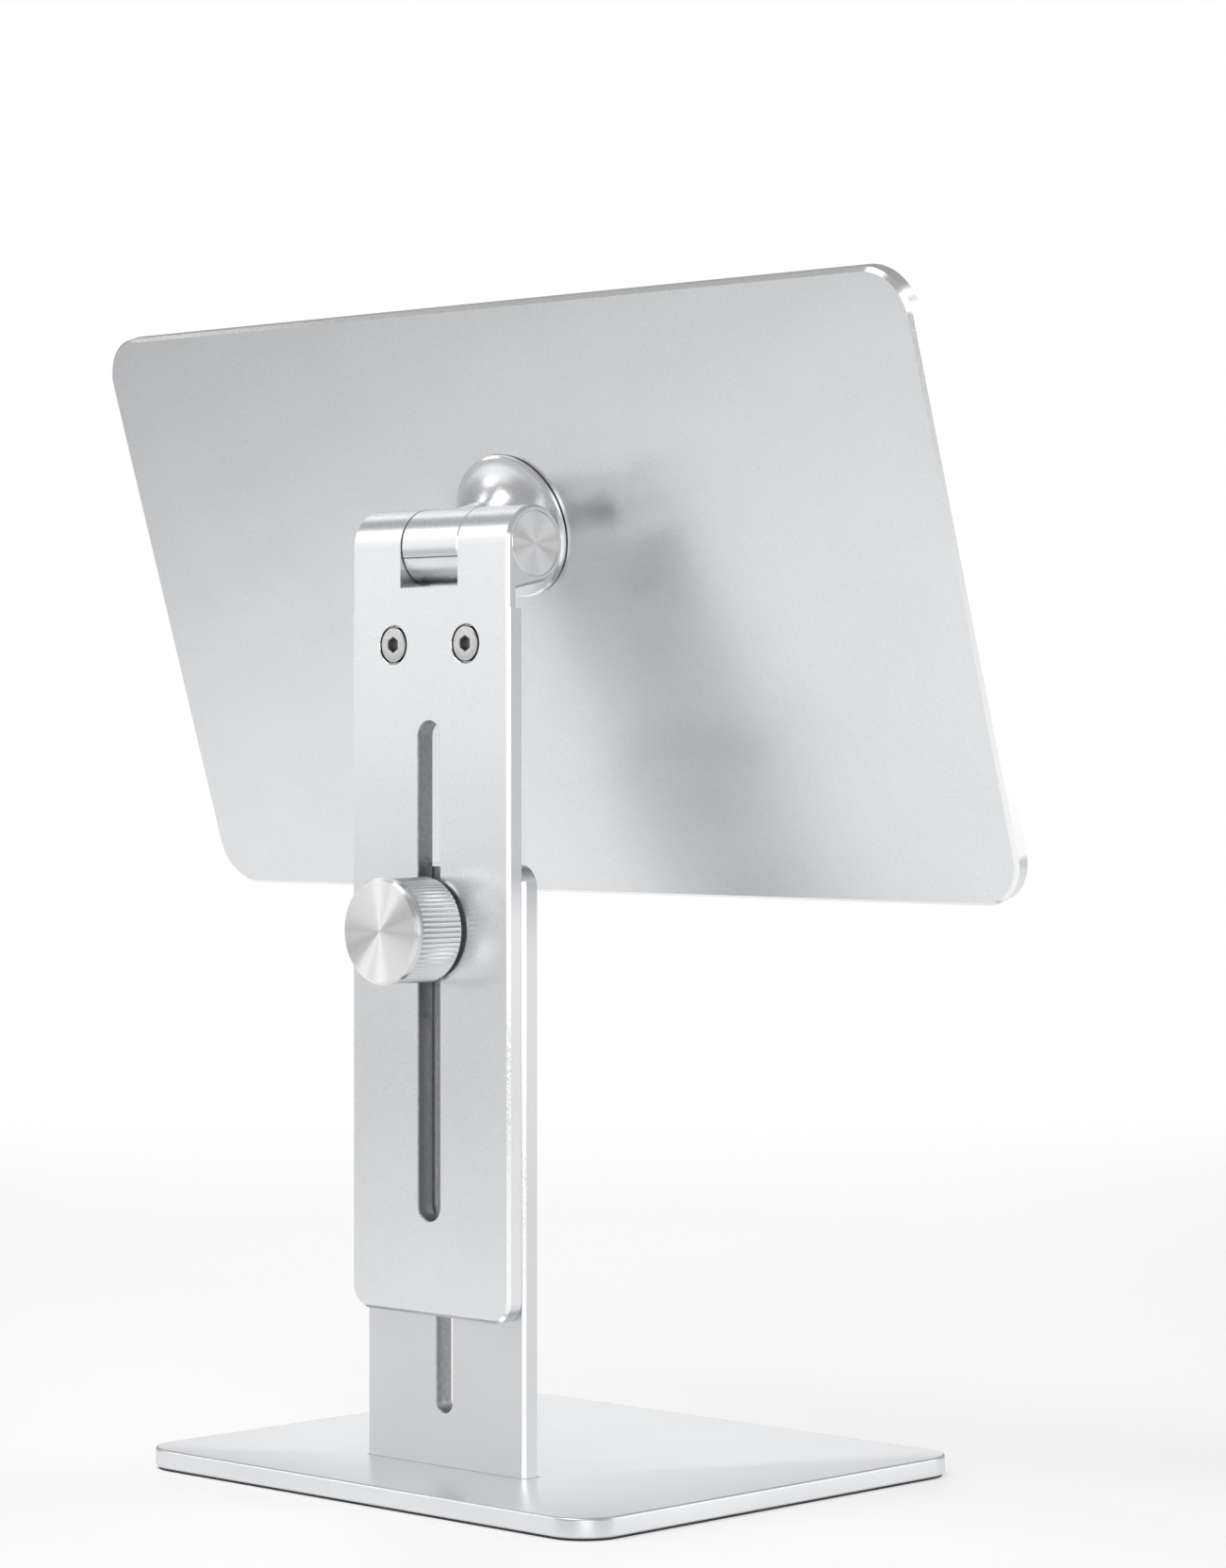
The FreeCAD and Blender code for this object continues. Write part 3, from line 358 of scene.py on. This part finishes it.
class Mesh:
    """A mesh under construction, in millimetres, with a material index for each face."""

    def __init__(self):
        self.bm = bmesh.new()

    def loop(self, points, y):
        """A closed ring of vertices at one Y, from (x, z) points."""
        return [self.bm.verts.new((x, y, z)) for x, z in points]

    def ring(self, points):
        """A closed ring of vertices from (x, y, z) points."""
        return [self.bm.verts.new(p) for p in points]

    def round_ring(self, radius, z, steps, offset=0.0):
        """A ring of vertices round Z, which starts at an angle in radians."""
        turns = [2 * PI * i / steps + offset for i in range(steps)]
        return self.ring([(radius * math.cos(turn), radius * math.sin(turn), z) for turn in turns])

    def fan(self, hub, rim, material=0):
        """Triangles from one vertex to a ring round it."""
        count = len(rim)
        for i in range(count):
            self.bm.faces.new((hub, rim[i], rim[(i + 1) % count])).material_index = material

    def bridge(self, first, second, material=0):
        """Quads between two rings of the same length."""
        count = len(first)
        for i in range(count):
            j = (i + 1) % count
            self.bm.faces.new((first[i], first[j], second[j], second[i])).material_index = material

    def cap(self, rings, material=0):
        """A flat cap with holes: the first ring is the outline, the others are its holes."""
        edges = []
        for verts in rings:
            count = len(verts)
            for i in range(count):
                pair = (verts[i], verts[(i + 1) % count])
                edges.append(self.bm.edges.get(pair) or self.bm.edges.new(pair))
        if len(rings) == 1:
            self.bm.faces.new(rings[0]).material_index = material
            return
        made = bmesh.ops.triangle_fill(self.bm, use_beauty=True, edges=edges)
        for item in made["geom"]:
            if isinstance(item, bmesh.types.BMFace):
                item.material_index = material

    def to_object(self, name, materials, matrix=None, sharp=28.0):
        """The finished piece in metres, smooth except at edges sharper than an angle."""
        bmesh.ops.remove_doubles(self.bm, verts=self.bm.verts, dist=1e-5)
        bmesh.ops.recalc_face_normals(self.bm, faces=self.bm.faces)
        mesh = bpy.data.meshes.new(name)
        self.bm.to_mesh(mesh)
        self.bm.free()
        mesh.transform(Matrix.Scale(MM, 4))
        for material in materials:
            mesh.materials.append(material)
        mesh.shade_smooth()
        mesh.set_sharp_from_angle(angle=math.radians(sharp))
        piece = add_object(name, mesh)
        if matrix is not None:
            piece.matrix_world = matrix
        return piece


class Hole:
    """A hole or pocket in a plate: a function of growth that gives its outline, and its depth."""

    def __init__(self, outline, rear_chamfer=0.0, front_chamfer=0.0, depth=None, from_rear=True):
        self.outline = outline
        self.rear_chamfer = rear_chamfer
        self.front_chamfer = front_chamfer
        self.depth = depth
        self.from_rear = from_rear


def build_plate(outline, y_front, y_rear, front_chamfer, rear_chamfer, holes):
    """A flat plate across Y: an outline with chamfered rims, and its holes and pockets.

    Face materials are 0 for the broad faces and sides, 1 for the chamfers and 2 for the walls
    and broken edges of holes that go right through, which are darkened as painted shade.
    """
    m = Mesh()
    front = m.loop(outline(front_chamfer), y_front)
    side_front = m.loop(outline(0), y_front + front_chamfer)
    side_rear = m.loop(outline(0), y_rear - rear_chamfer)
    rear = m.loop(outline(rear_chamfer), y_rear)
    m.bridge(front, side_front, 1)
    m.bridge(side_front, side_rear, 0)
    m.bridge(side_rear, rear, 1)
    front_rings, rear_rings = [front], [rear]
    for hole in holes:
        if hole.depth is None:
            low = m.loop(hole.outline(hole.front_chamfer), y_front)
            low_in = m.loop(hole.outline(0), y_front + hole.front_chamfer)
            high_in = m.loop(hole.outline(0), y_rear - hole.rear_chamfer)
            high = m.loop(hole.outline(hole.rear_chamfer), y_rear)
            m.bridge(low, low_in, 2)
            m.bridge(low_in, high_in, 2)
            m.bridge(high_in, high, 2)
            front_rings.append(low)
            rear_rings.append(high)
        else:
            surface = y_rear if hole.from_rear else y_front
            inward = -1 if hole.from_rear else 1
            mouth = m.loop(hole.outline(hole.rear_chamfer), surface)
            throat = m.loop(hole.outline(0), surface + inward * hole.rear_chamfer)
            floor = m.loop(hole.outline(0), surface + inward * hole.depth)
            m.bridge(mouth, throat, 1)
            m.bridge(throat, floor, 0)
            m.cap([floor])
            (rear_rings if hole.from_rear else front_rings).append(mouth)
    m.cap(front_rings)
    m.cap(rear_rings)
    return m


def lathe(profile, steps, materials):
    """A solid turned round Z from (radius, z) points; a radius of 0 closes it on the axis."""
    m = Mesh()
    rings = [m.round_ring(radius, z, steps) if radius else m.ring([(0, 0, z)]) for radius, z in profile]
    for first, second, material in zip(rings, rings[1:], materials):
        if len(first) == 1:
            m.fan(first[0], second, material)
        elif len(second) == 1:
            m.fan(second[0], first, material)
        else:
            m.bridge(first, second, material)
    return m


def keep(piece, body, slot, *nodes):
    """Rides a finished piece on its body in place of its CAD nodes."""
    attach(piece, body)
    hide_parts(*nodes)


def box_mm(node):
    """A CAD node's box in millimetres."""
    low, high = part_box(node)
    return low / MM, high / MM


# ---- base -------------------------------------------------------------------------------

def make_base():
    low, high = box_mm("base_plate")
    column_low, column_high = box_mm("column_lower")
    groove_x = column_high.x + GROOVE_GAP
    m = Mesh()

    def outline(inset, z):
        flat = rect_outline(high.x, low.y, high.y, (BASE_CORNER, BASE_CORNER), inset)
        return [(x, y, z) for x, y in flat]

    rings = [m.ring(outline(BASE_LOWER_EDGE, low.z)), m.ring(outline(0, low.z + BASE_LOWER_EDGE))]
    for step in range(BASE_EDGE_STEPS + 1):
        turn = PI / 2 * step / BASE_EDGE_STEPS
        inset = BASE_EDGE * (1 - math.cos(turn))
        z = high.z - BASE_EDGE * (1 - math.sin(turn))
        rings.append(m.ring(outline(inset, z)))
    for first, second in zip(rings, rings[1:]):
        m.bridge(first, second)
    groove = [(-groove_x, column_low.y - GROOVE_GAP), (groove_x, column_low.y - GROOVE_GAP),
              (groove_x, column_high.y + GROOVE_GAP), (-groove_x, column_high.y + GROOVE_GAP)]
    mouth = m.ring([(x, y, high.z) for x, y in groove])
    floor = m.ring([(x, y, high.z - GROOVE_DEPTH) for x, y in groove])
    m.bridge(mouth, floor)
    m.cap([floor])
    m.cap([rings[-1], mouth])
    m.cap([rings[0]])
    piece = m.to_object("base_plate_satin", [SATIN_BASE])
    keep(piece, "base", "base_silver", "base_plate")


# ---- columns ----------------------------------------------------------------------------

def make_column_lower():
    low, high = box_mm("column_lower")
    nut_low, nut_high = box_mm("clamp_nut")
    clamp_z = (nut_low.z + nut_high.z) / 2

    def outline(inset):
        return rect_outline(high.x, low.z, high.z, (0, COLUMN_CORNER), inset, keep_low=True)

    width, slot_low, slot_high = LOWER_SLOT
    slot = Hole(lambda g: slot_outline(width, slot_low, slot_high, g), SLOT_CHAMFER, SLOT_CHAMFER)
    bore = Hole(lambda g: circle(0, clamp_z, NUT_BORE_RADIUS + g))
    # The walls of its slot and bore take the dark painted-shade material.
    m = build_plate(outline, low.y, high.y, COLUMN_CHAMFER, COLUMN_CHAMFER, [slot, bore])
    # The lower column takes the darker copy of the satin aluminium: painted shade.
    piece = m.to_object("column_lower_plate", [SATIN_LOWER_SHADED, BRIGHT, SLOT_WALL_SHADE])
    keep(piece, "base", "alu_silver", "column_lower")


def make_column_upper():
    low, high = box_mm("column_upper")

    def outline(inset):
        return rect_outline(high.x, low.z, high.z, (COLUMN_CORNER, 0), inset, keep_high=True)

    width, slot_low, slot_high = UPPER_SLOT
    holes = [Hole(lambda g: slot_outline(width, slot_low, slot_high, g), SLOT_CHAMFER, SLOT_CHAMFER)]
    screw_low, screw_high = box_mm("bracket_screws")
    screw_z = (screw_low.z + screw_high.z) / 2
    screw_x = screw_high.x - (screw_high.z - screw_low.z) / 2
    for side in (-1, 1):
        holes.append(Hole(lambda g, x=side * screw_x: circle(x, screw_z, SCREW_BORE_RADIUS + g),
                          rear_chamfer=SCREW_BORE_CHAMFER, depth=SCREW_BORE_DEPTH))
    # The walls of its slot take the dark painted-shade material.
    m = build_plate(outline, low.y, high.y, COLUMN_CHAMFER, COLUMN_CHAMFER, holes)
    piece = m.to_object("column_upper_plate", [SATIN, BRIGHT, SLOT_WALL_SHADE])
    keep(piece, "slider", "alu_silver", "column_upper")


# ---- CAD nodes that keep their shape ----------------------------------------------------

def dress(node, *materials):
    """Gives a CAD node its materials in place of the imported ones."""
    slots = frame["nodes"][node].data.materials
    slots.clear()
    for material in materials:
        slots.append(material)


def copy_of(node, name, materials, pick):
    """A copy of a CAD node's mesh with a material chosen for each face by its normal and centre."""
    source = frame["nodes"][node]
    mesh = source.data.copy()
    mesh.name = name
    mesh.materials.clear()
    for material in materials:
        mesh.materials.append(material)
    for face in mesh.polygons:
        face.material_index = pick(face.normal, face.center / MM)
    return add_object(name, mesh)


def make_bracket():
    half_width = box_mm("hinge_bracket")[1].x

    def pick(normal, centre):
        sloped = BRACKET_SLOPE[0] < abs(normal.x) < BRACKET_SLOPE[1]
        outer = abs(centre.x) > half_width - BRACKET_EDGE_BAND
        return 1 if sloped and outer else 0

    piece = copy_of("hinge_bracket", "hinge_bracket_satin", [SATIN, BRIGHT], pick)
    keep(piece, "slider", "alu_silver", "hinge_bracket")


# ---- turned and milled small parts ------------------------------------------------------

def make_hinge_caps():
    low, high = box_mm("hinge_caps")
    radius = (high.z - low.z) / 2
    profile = [(0, 0), (radius, 0), (radius, CAP_THICKNESS - CAP_EDGE),
               (radius - CAP_EDGE, CAP_THICKNESS), (0, CAP_THICKNESS - CAP_DISH)]
    for side, name in ((1, "left"), (-1, "right")):
        m = lathe(profile, steps=96, materials=(0, 0, 1, 0))
        face = Matrix.Translation(Vector((side * (high.x - CAP_THICKNESS) * MM, BARREL.y, BARREL.z)))
        turn = Matrix.Rotation(side * PI / 2, 4, "Y")
        piece = m.to_object("hinge_cap_" + name, [TURNED, BRIGHT], face @ turn)
        keep(piece, "slider", "alu_turned", "hinge_caps")


def make_knob():
    """Knurled clamp knob, turned about its own Z axis, which lies along the row's +Y."""
    low, high = box_mm("clamp_knob")
    radius = (high.z - low.z) / 2
    length = high.y - low.y
    centre_z = (high.z + low.z) / 2
    steps = KNURL_TEETH * KNURL_STEPS
    crest = radius - KNURL_CREST
    band_start = length - KNOB_PLAIN_BAND
    face_radius = radius - KNOB_END_CHAMFER
    dish_rim, dish_middle, dish_centre = (length - depth for depth in KNOB_DISH_DEPTHS)
    m = Mesh()

    def ring(z, base_radius, knurl):
        """A ring whose radius dips sharply between round-topped teeth."""
        points = []
        for i in range(steps):
            turn = 2 * PI * i / steps
            tooth = abs(math.sin(PI * i / KNURL_STEPS))
            r = base_radius - knurl * (KNURL_DEPTH - KNURL_CREST) * (1 - tooth)
            points.append((r * math.cos(turn), r * math.sin(turn), z))
        return m.ring(points)

    stations = [
        (0.0, crest - KNOB_BASE_CHAMFER, 0.0, 0), (KNOB_BASE_CHAMFER, crest, 0.0, 0),
        (KNOB_BASE_CHAMFER + KNURL_FADE, crest, 1.0, 0), (band_start - KNURL_FADE, crest, 1.0, 0),
        (band_start, crest, 0.0, 0), (band_start + KNOB_BAND_STEP, radius, 0.0, 0),
        (length - KNOB_END_CHAMFER, radius, 0.0, 1), (length, face_radius, 0.0, 1),
        (dish_rim, face_radius - KNOB_DISH_MARGIN, 0.0, 1), (dish_middle, radius / 2, 0.0, 1),
    ]
    rings = [ring(z, r, k) for z, r, k, _ in stations]
    for index, (first, second) in enumerate(zip(rings, rings[1:])):
        m.bridge(first, second, stations[index][3])
    m.fan(m.ring([(0, 0, dish_centre)])[0], rings[-1], 1)
    m.cap([rings[0]])
    place = Matrix.Translation(Vector((0, low.y, centre_z)) * MM) @ Matrix.Rotation(-PI / 2, 4, "X")
    piece = m.to_object("clamp_knob_knurled", [KNURL, TURNED], place, sharp=35)
    keep(piece, "knob", "alu_turned", "clamp_knob")


def make_bracket_screws():
    low, high = box_mm("bracket_screws")
    radius = (high.z - low.z) / 2
    centre_z = (high.z + low.z) / 2
    centre_x = high.x - radius
    corner = SOCKET_FLATS / math.sqrt(3)
    steps = 96
    for side, name in ((1, "left"), (-1, "right")):
        m = Mesh()
        rings = [m.round_ring(radius, -SCREW_BORE_DEPTH, steps), m.round_ring(radius, -HEAD_ROUND, steps)]
        for step in range(1, HEAD_ROUND_STEPS + 1):
            turn = PI / 2 * step / HEAD_ROUND_STEPS
            rings.append(m.round_ring(radius - HEAD_ROUND * (1 - math.cos(turn)),
                                      -HEAD_ROUND * (1 - math.sin(turn)), steps))
        # The head's side wall takes the near-black material: painted shadow in the gap round the head.
        for index, (first, second) in enumerate(zip(rings, rings[1:])):
            m.bridge(first, second, 2 if index == 0 else 0)
        mouth, throat, floor = (
            m.round_ring(corner + grow, -depth, SOCKET_SIDES, offset=PI / 6)
            for grow, depth in ((SOCKET_MOUTH, 0), (0, SOCKET_THROAT), (0, SOCKET_DEPTH)))
        # The hex socket's walls and floor take the dark painted-shade material.
        m.bridge(mouth, throat, 1)
        m.bridge(throat, floor, 1)
        m.cap([floor], 1)
        m.cap([rings[-1], mouth])
        m.cap([rings[0]])
        place = Matrix.Translation(Vector((side * centre_x, high.y, centre_z)) * MM)
        place = place @ Matrix.Rotation(-PI / 2, 4, "X")
        piece = m.to_object("bracket_screw_" + name, [STEEL, SOCKET_AND_GROOVE_SHADE, HEAD_SIDE_SHADOW], place)
        keep(piece, "slider", "steel_screws", "bracket_screws")


def make_knuckle():
    """Centre knuckle, turned about X in the plate's frame, with a fine witness line on its rear."""
    half = box_mm("tilt_knuckle")[1].x
    steps = 160
    mouth = math.asin(WITNESS_WIDTH / 2 / KNUCKLE_RADIUS)
    m = Mesh()

    def section(x, inset):
        radius = KNUCKLE_RADIUS - inset
        points = []
        for i in range(steps + 1):
            turn = mouth + (2 * PI - 2 * mouth) * i / steps
            points.append((x, radius * math.cos(turn), radius * math.sin(turn)))
        groove_floor = radius - WITNESS_DEPTH
        points.append((x, groove_floor, -WITNESS_WIDTH / 2))
        points.append((x, groove_floor, WITNESS_WIDTH / 2))
        return m.ring(points)

    stations = [(-half, KNUCKLE_CHAMFER), (KNUCKLE_CHAMFER - half, 0),
                (half - KNUCKLE_CHAMFER, 0), (half, KNUCKLE_CHAMFER)]
    rings = [section(x, inset) for x, inset in stations]
    m.bridge(rings[0], rings[1], 1)
    m.bridge(rings[1], rings[2], 0)
    m.bridge(rings[2], rings[3], 1)
    m.cap([rings[0]])
    m.cap([rings[3]])
    # The witness groove's faces take a dark material: painted shade in the groove.
    for face in m.bm.faces:
        middle = face.calc_center_median()
        if middle.y > KNUCKLE_RADIUS / 2 and abs(middle.z) < WITNESS_WIDTH:
            face.material_index = 2
    piece = m.to_object("tilt_knuckle_satin", [SATIN, BRIGHT, SOCKET_AND_GROOVE_SHADE], PLATE_FRAME)
    keep(piece, "swivel_arm", "alu_silver", "tilt_knuckle")


def make_flange():
    """The flange's own mesh, with its rim and its collar's edge bright."""
    to_plate = PLATE_FRAME.inverted()

    def pick(normal, centre):
        local = (to_plate @ (centre * MM)) / MM
        radius = math.hypot(local.x, local.z)
        at_rim = radius > FLANGE_RADIUS - FLANGE_RIM_BAND
        near_collar = abs(radius - COLLAR_RADIUS) < COLLAR_BAND and local.y < -COLLAR_REACH + COLLAR_DEPTH
        sloped = COLLAR_SLOPE[0] < abs(normal @ SWIVEL_AXIS) < COLLAR_SLOPE[1]
        return 1 if at_rim or (near_collar and sloped) else 0

    piece = copy_of("swivel_flange", "swivel_flange_turned", [SATIN, BRIGHT], pick)
    keep(piece, "swivel_arm", "alu_silver", "swivel_flange")


# ---- plate for the tablet ---------------------------------------------------------------

def make_plate():
    half_width = box_mm("magnet_plate")[1].x
    low = -PLATE_CENTRE_DROP - PLATE_HEIGHT / 2
    high = -PLATE_CENTRE_DROP + PLATE_HEIGHT / 2
    corners = (PLATE_CORNER, PLATE_CORNER)

    def outline(inset):
        return rect_outline(half_width, low, high, corners, inset, steps=24)

    def recess(growth):
        return rect_outline(half_width, low, high, corners, FRONT_RECESS_INSET - growth, steps=24)

    pocket = Hole(recess, FRONT_RECESS_CHAMFER, depth=FRONT_RECESS_DEPTH, from_rear=False)
    m = build_plate(outline, PLATE_REAR - PLATE_THICKNESS, PLATE_REAR,
                    PLATE_FRONT_CHAMFER, PLATE_CHAMFER, [pocket])
    piece = m.to_object("tablet_plate_satin", [SATIN, BRIGHT], PLATE_FRAME)
    keep(piece, "plate", "alu_silver", "magnet_plate")


# ---- stage ------------------------------------------------------------------------------

CAMERA_PLACE = Vector((-0.7010, 0.7078, 0.1645))
CAMERA_AIM = Vector((-0.0079, -0.0130, 0.1558))
CAMERA_LENS = 100.9
CAMERA_SENSOR = 36.0
CAMERA_CLIP = 0.02
VIEW_DIRECTION = Vector((CAMERA_AIM.x - CAMERA_PLACE.x, CAMERA_AIM.y - CAMERA_PLACE.y, 0)).normalized()
LEFT_OF_CAMERA = Vector((0, 0, 1)).cross(VIEW_DIRECTION)
STAGE_CENTRE = Vector((0, 0, 0.14))
FLOOR_FULL = 0.35
FLOOR_GONE = 1.1
FLOOR_MARGIN = 0.1
FLOOR_GLOW = 0.30
WORLD_LIGHT = 0.42
WORLD_SEEN = 1.0
SOFTBOX_DISTANCE = 1.5


def make_floor():
    """A pale floor round the stand that fades into the white studio further out."""
    mesh = bpy.data.meshes.new("studio_floor")
    half = FLOOR_GONE + FLOOR_MARGIN
    corners = [(-half, -half, 0), (half, -half, 0), (half, half, 0), (-half, half, 0)]
    mesh.from_pydata(corners, [], [(0, 1, 2, 3)])
    floor = add_object("studio_floor", mesh)
    s = Shader("studio_floor", (0.93, 0.93, 0.93), metallic=0.0, roughness=0.6)
    s.bsdf.inputs["Emission Color"].default_value = (1, 1, 1, 1)
    s.bsdf.inputs["Emission Strength"].default_value = FLOOR_GLOW
    s.link(s.span(s.noise(scale=3.0), low=0.55, high=0.65), s.bsdf.inputs["Roughness"])
    radius = s.node("ShaderNodeVectorMath", operation="LENGTH")
    s.link(s.coordinates, radius.inputs[0])
    fade = s.node("ShaderNodeMapRange", interpolation_type="SMOOTHSTEP")
    fade.inputs["From Min"].default_value = FLOOR_FULL
    fade.inputs["From Max"].default_value = FLOOR_GONE
    fade.inputs["To Min"].default_value = 1.0
    fade.inputs["To Max"].default_value = 0.0
    s.link(radius.outputs["Value"], fade.inputs["Value"])
    s.link(fade.outputs["Result"], s.bsdf.inputs["Alpha"])
    mesh.materials.append(s.material)


def make_world():
    """An even studio: it looks white all round, and lights the stand more dimly than it looks."""
    world = bpy.data.worlds.new("studio")
    bpy.context.scene.world = world
    world.use_nodes = True
    tree = world.node_tree
    background = tree.nodes["Background"]
    background.inputs["Color"].default_value = (1, 1, 1, 1)
    path = tree.nodes.new("ShaderNodeLightPath")
    ramp = tree.nodes.new("ShaderNodeMapRange")
    ramp.inputs["To Min"].default_value = WORLD_LIGHT
    ramp.inputs["To Max"].default_value = WORLD_SEEN
    tree.links.new(path.outputs["Is Camera Ray"], ramp.inputs["Value"])
    tree.links.new(ramp.outputs["Result"], background.inputs["Strength"])


def softbox(name, around, up, size, power):
    """A square soft light: degrees round to the camera's left, degrees up, metres and watts."""
    turn, rise = math.radians(around), math.radians(up)
    level = -VIEW_DIRECTION * math.cos(turn) + LEFT_OF_CAMERA * math.sin(turn)
    outward = level * math.cos(rise) + Vector((0, 0, math.sin(rise)))
    data = bpy.data.lights.new(name, "AREA")
    data.shape = "SQUARE"
    data.size = size
    data.energy = power
    lamp = add_object(name, data)
    lamp.location = STAGE_CENTRE + outward * SOFTBOX_DISTANCE
    lamp.rotation_euler = (-outward).to_track_quat("-Z", "Y").to_euler()
    lamp.visible_camera = False


def make_lights():
    """Softboxes round the stand, and a low white card behind it for its flat tops to reflect."""
    softbox("left_softbox", around=88, up=15, size=0.95, power=2.2)
    softbox("left_high", around=103, up=30, size=0.4, power=1.0)
    softbox("right_softbox", around=-90, up=12, size=0.9, power=3.0)
    softbox("right_high", around=-92, up=40, size=0.3, power=0.6)
    softbox("front_softbox", around=-5, up=8, size=0.7, power=2.5)
    softbox("overhead", around=60, up=65, size=0.8, power=5.0)
    softbox("rear_card", around=180, up=3, size=0.65, power=1.2)


def make_camera():
    camera = bpy.data.cameras.new("camera")
    camera.lens = CAMERA_LENS
    camera.sensor_width = CAMERA_SENSOR
    camera.clip_start = CAMERA_CLIP
    eye = add_object("camera", camera)
    eye.location = CAMERA_PLACE
    eye.rotation_euler = (CAMERA_AIM - CAMERA_PLACE).to_track_quat("-Z", "Y").to_euler()
    bpy.context.scene.camera = eye
    bpy.context.scene.view_settings.view_transform = "Standard"


# ---- put it together --------------------------------------------------------------------

PLAIN_NODES = {
    "base_pad": PAD_DARK, "column_screws": STEEL, "slide_liners": PLASTIC, "clamp_nut": STEEL,
    "guide_bush": PLASTIC, "guide_screw": STEEL, "clamp_stud": STEEL, "clamp_washer": PLASTIC,
    "hinge_pin": STEEL, "hinge_nut": STEEL, "hinge_flat_washers": STEEL, "hinge_disc_springs": SPRING,
    "friction_washers": PLASTIC, "knuckle_bushes": BRONZE, "swivel_bolt": STEEL,
    "swivel_washer_front": PLASTIC, "swivel_washer_rear": PLASTIC, "swivel_spring": SPRING,
    "magnets": NICKEL, "front_pad": FRONT_DARK,
}

for node_name, finish in PLAIN_NODES.items():
    dress(node_name, finish)

make_base()
make_column_lower()
make_column_upper()
make_bracket()
make_hinge_caps()
make_bracket_screws()
make_knob()
make_knuckle()
make_flange()
make_plate()
make_floor()
make_world()
make_lights()
make_camera()
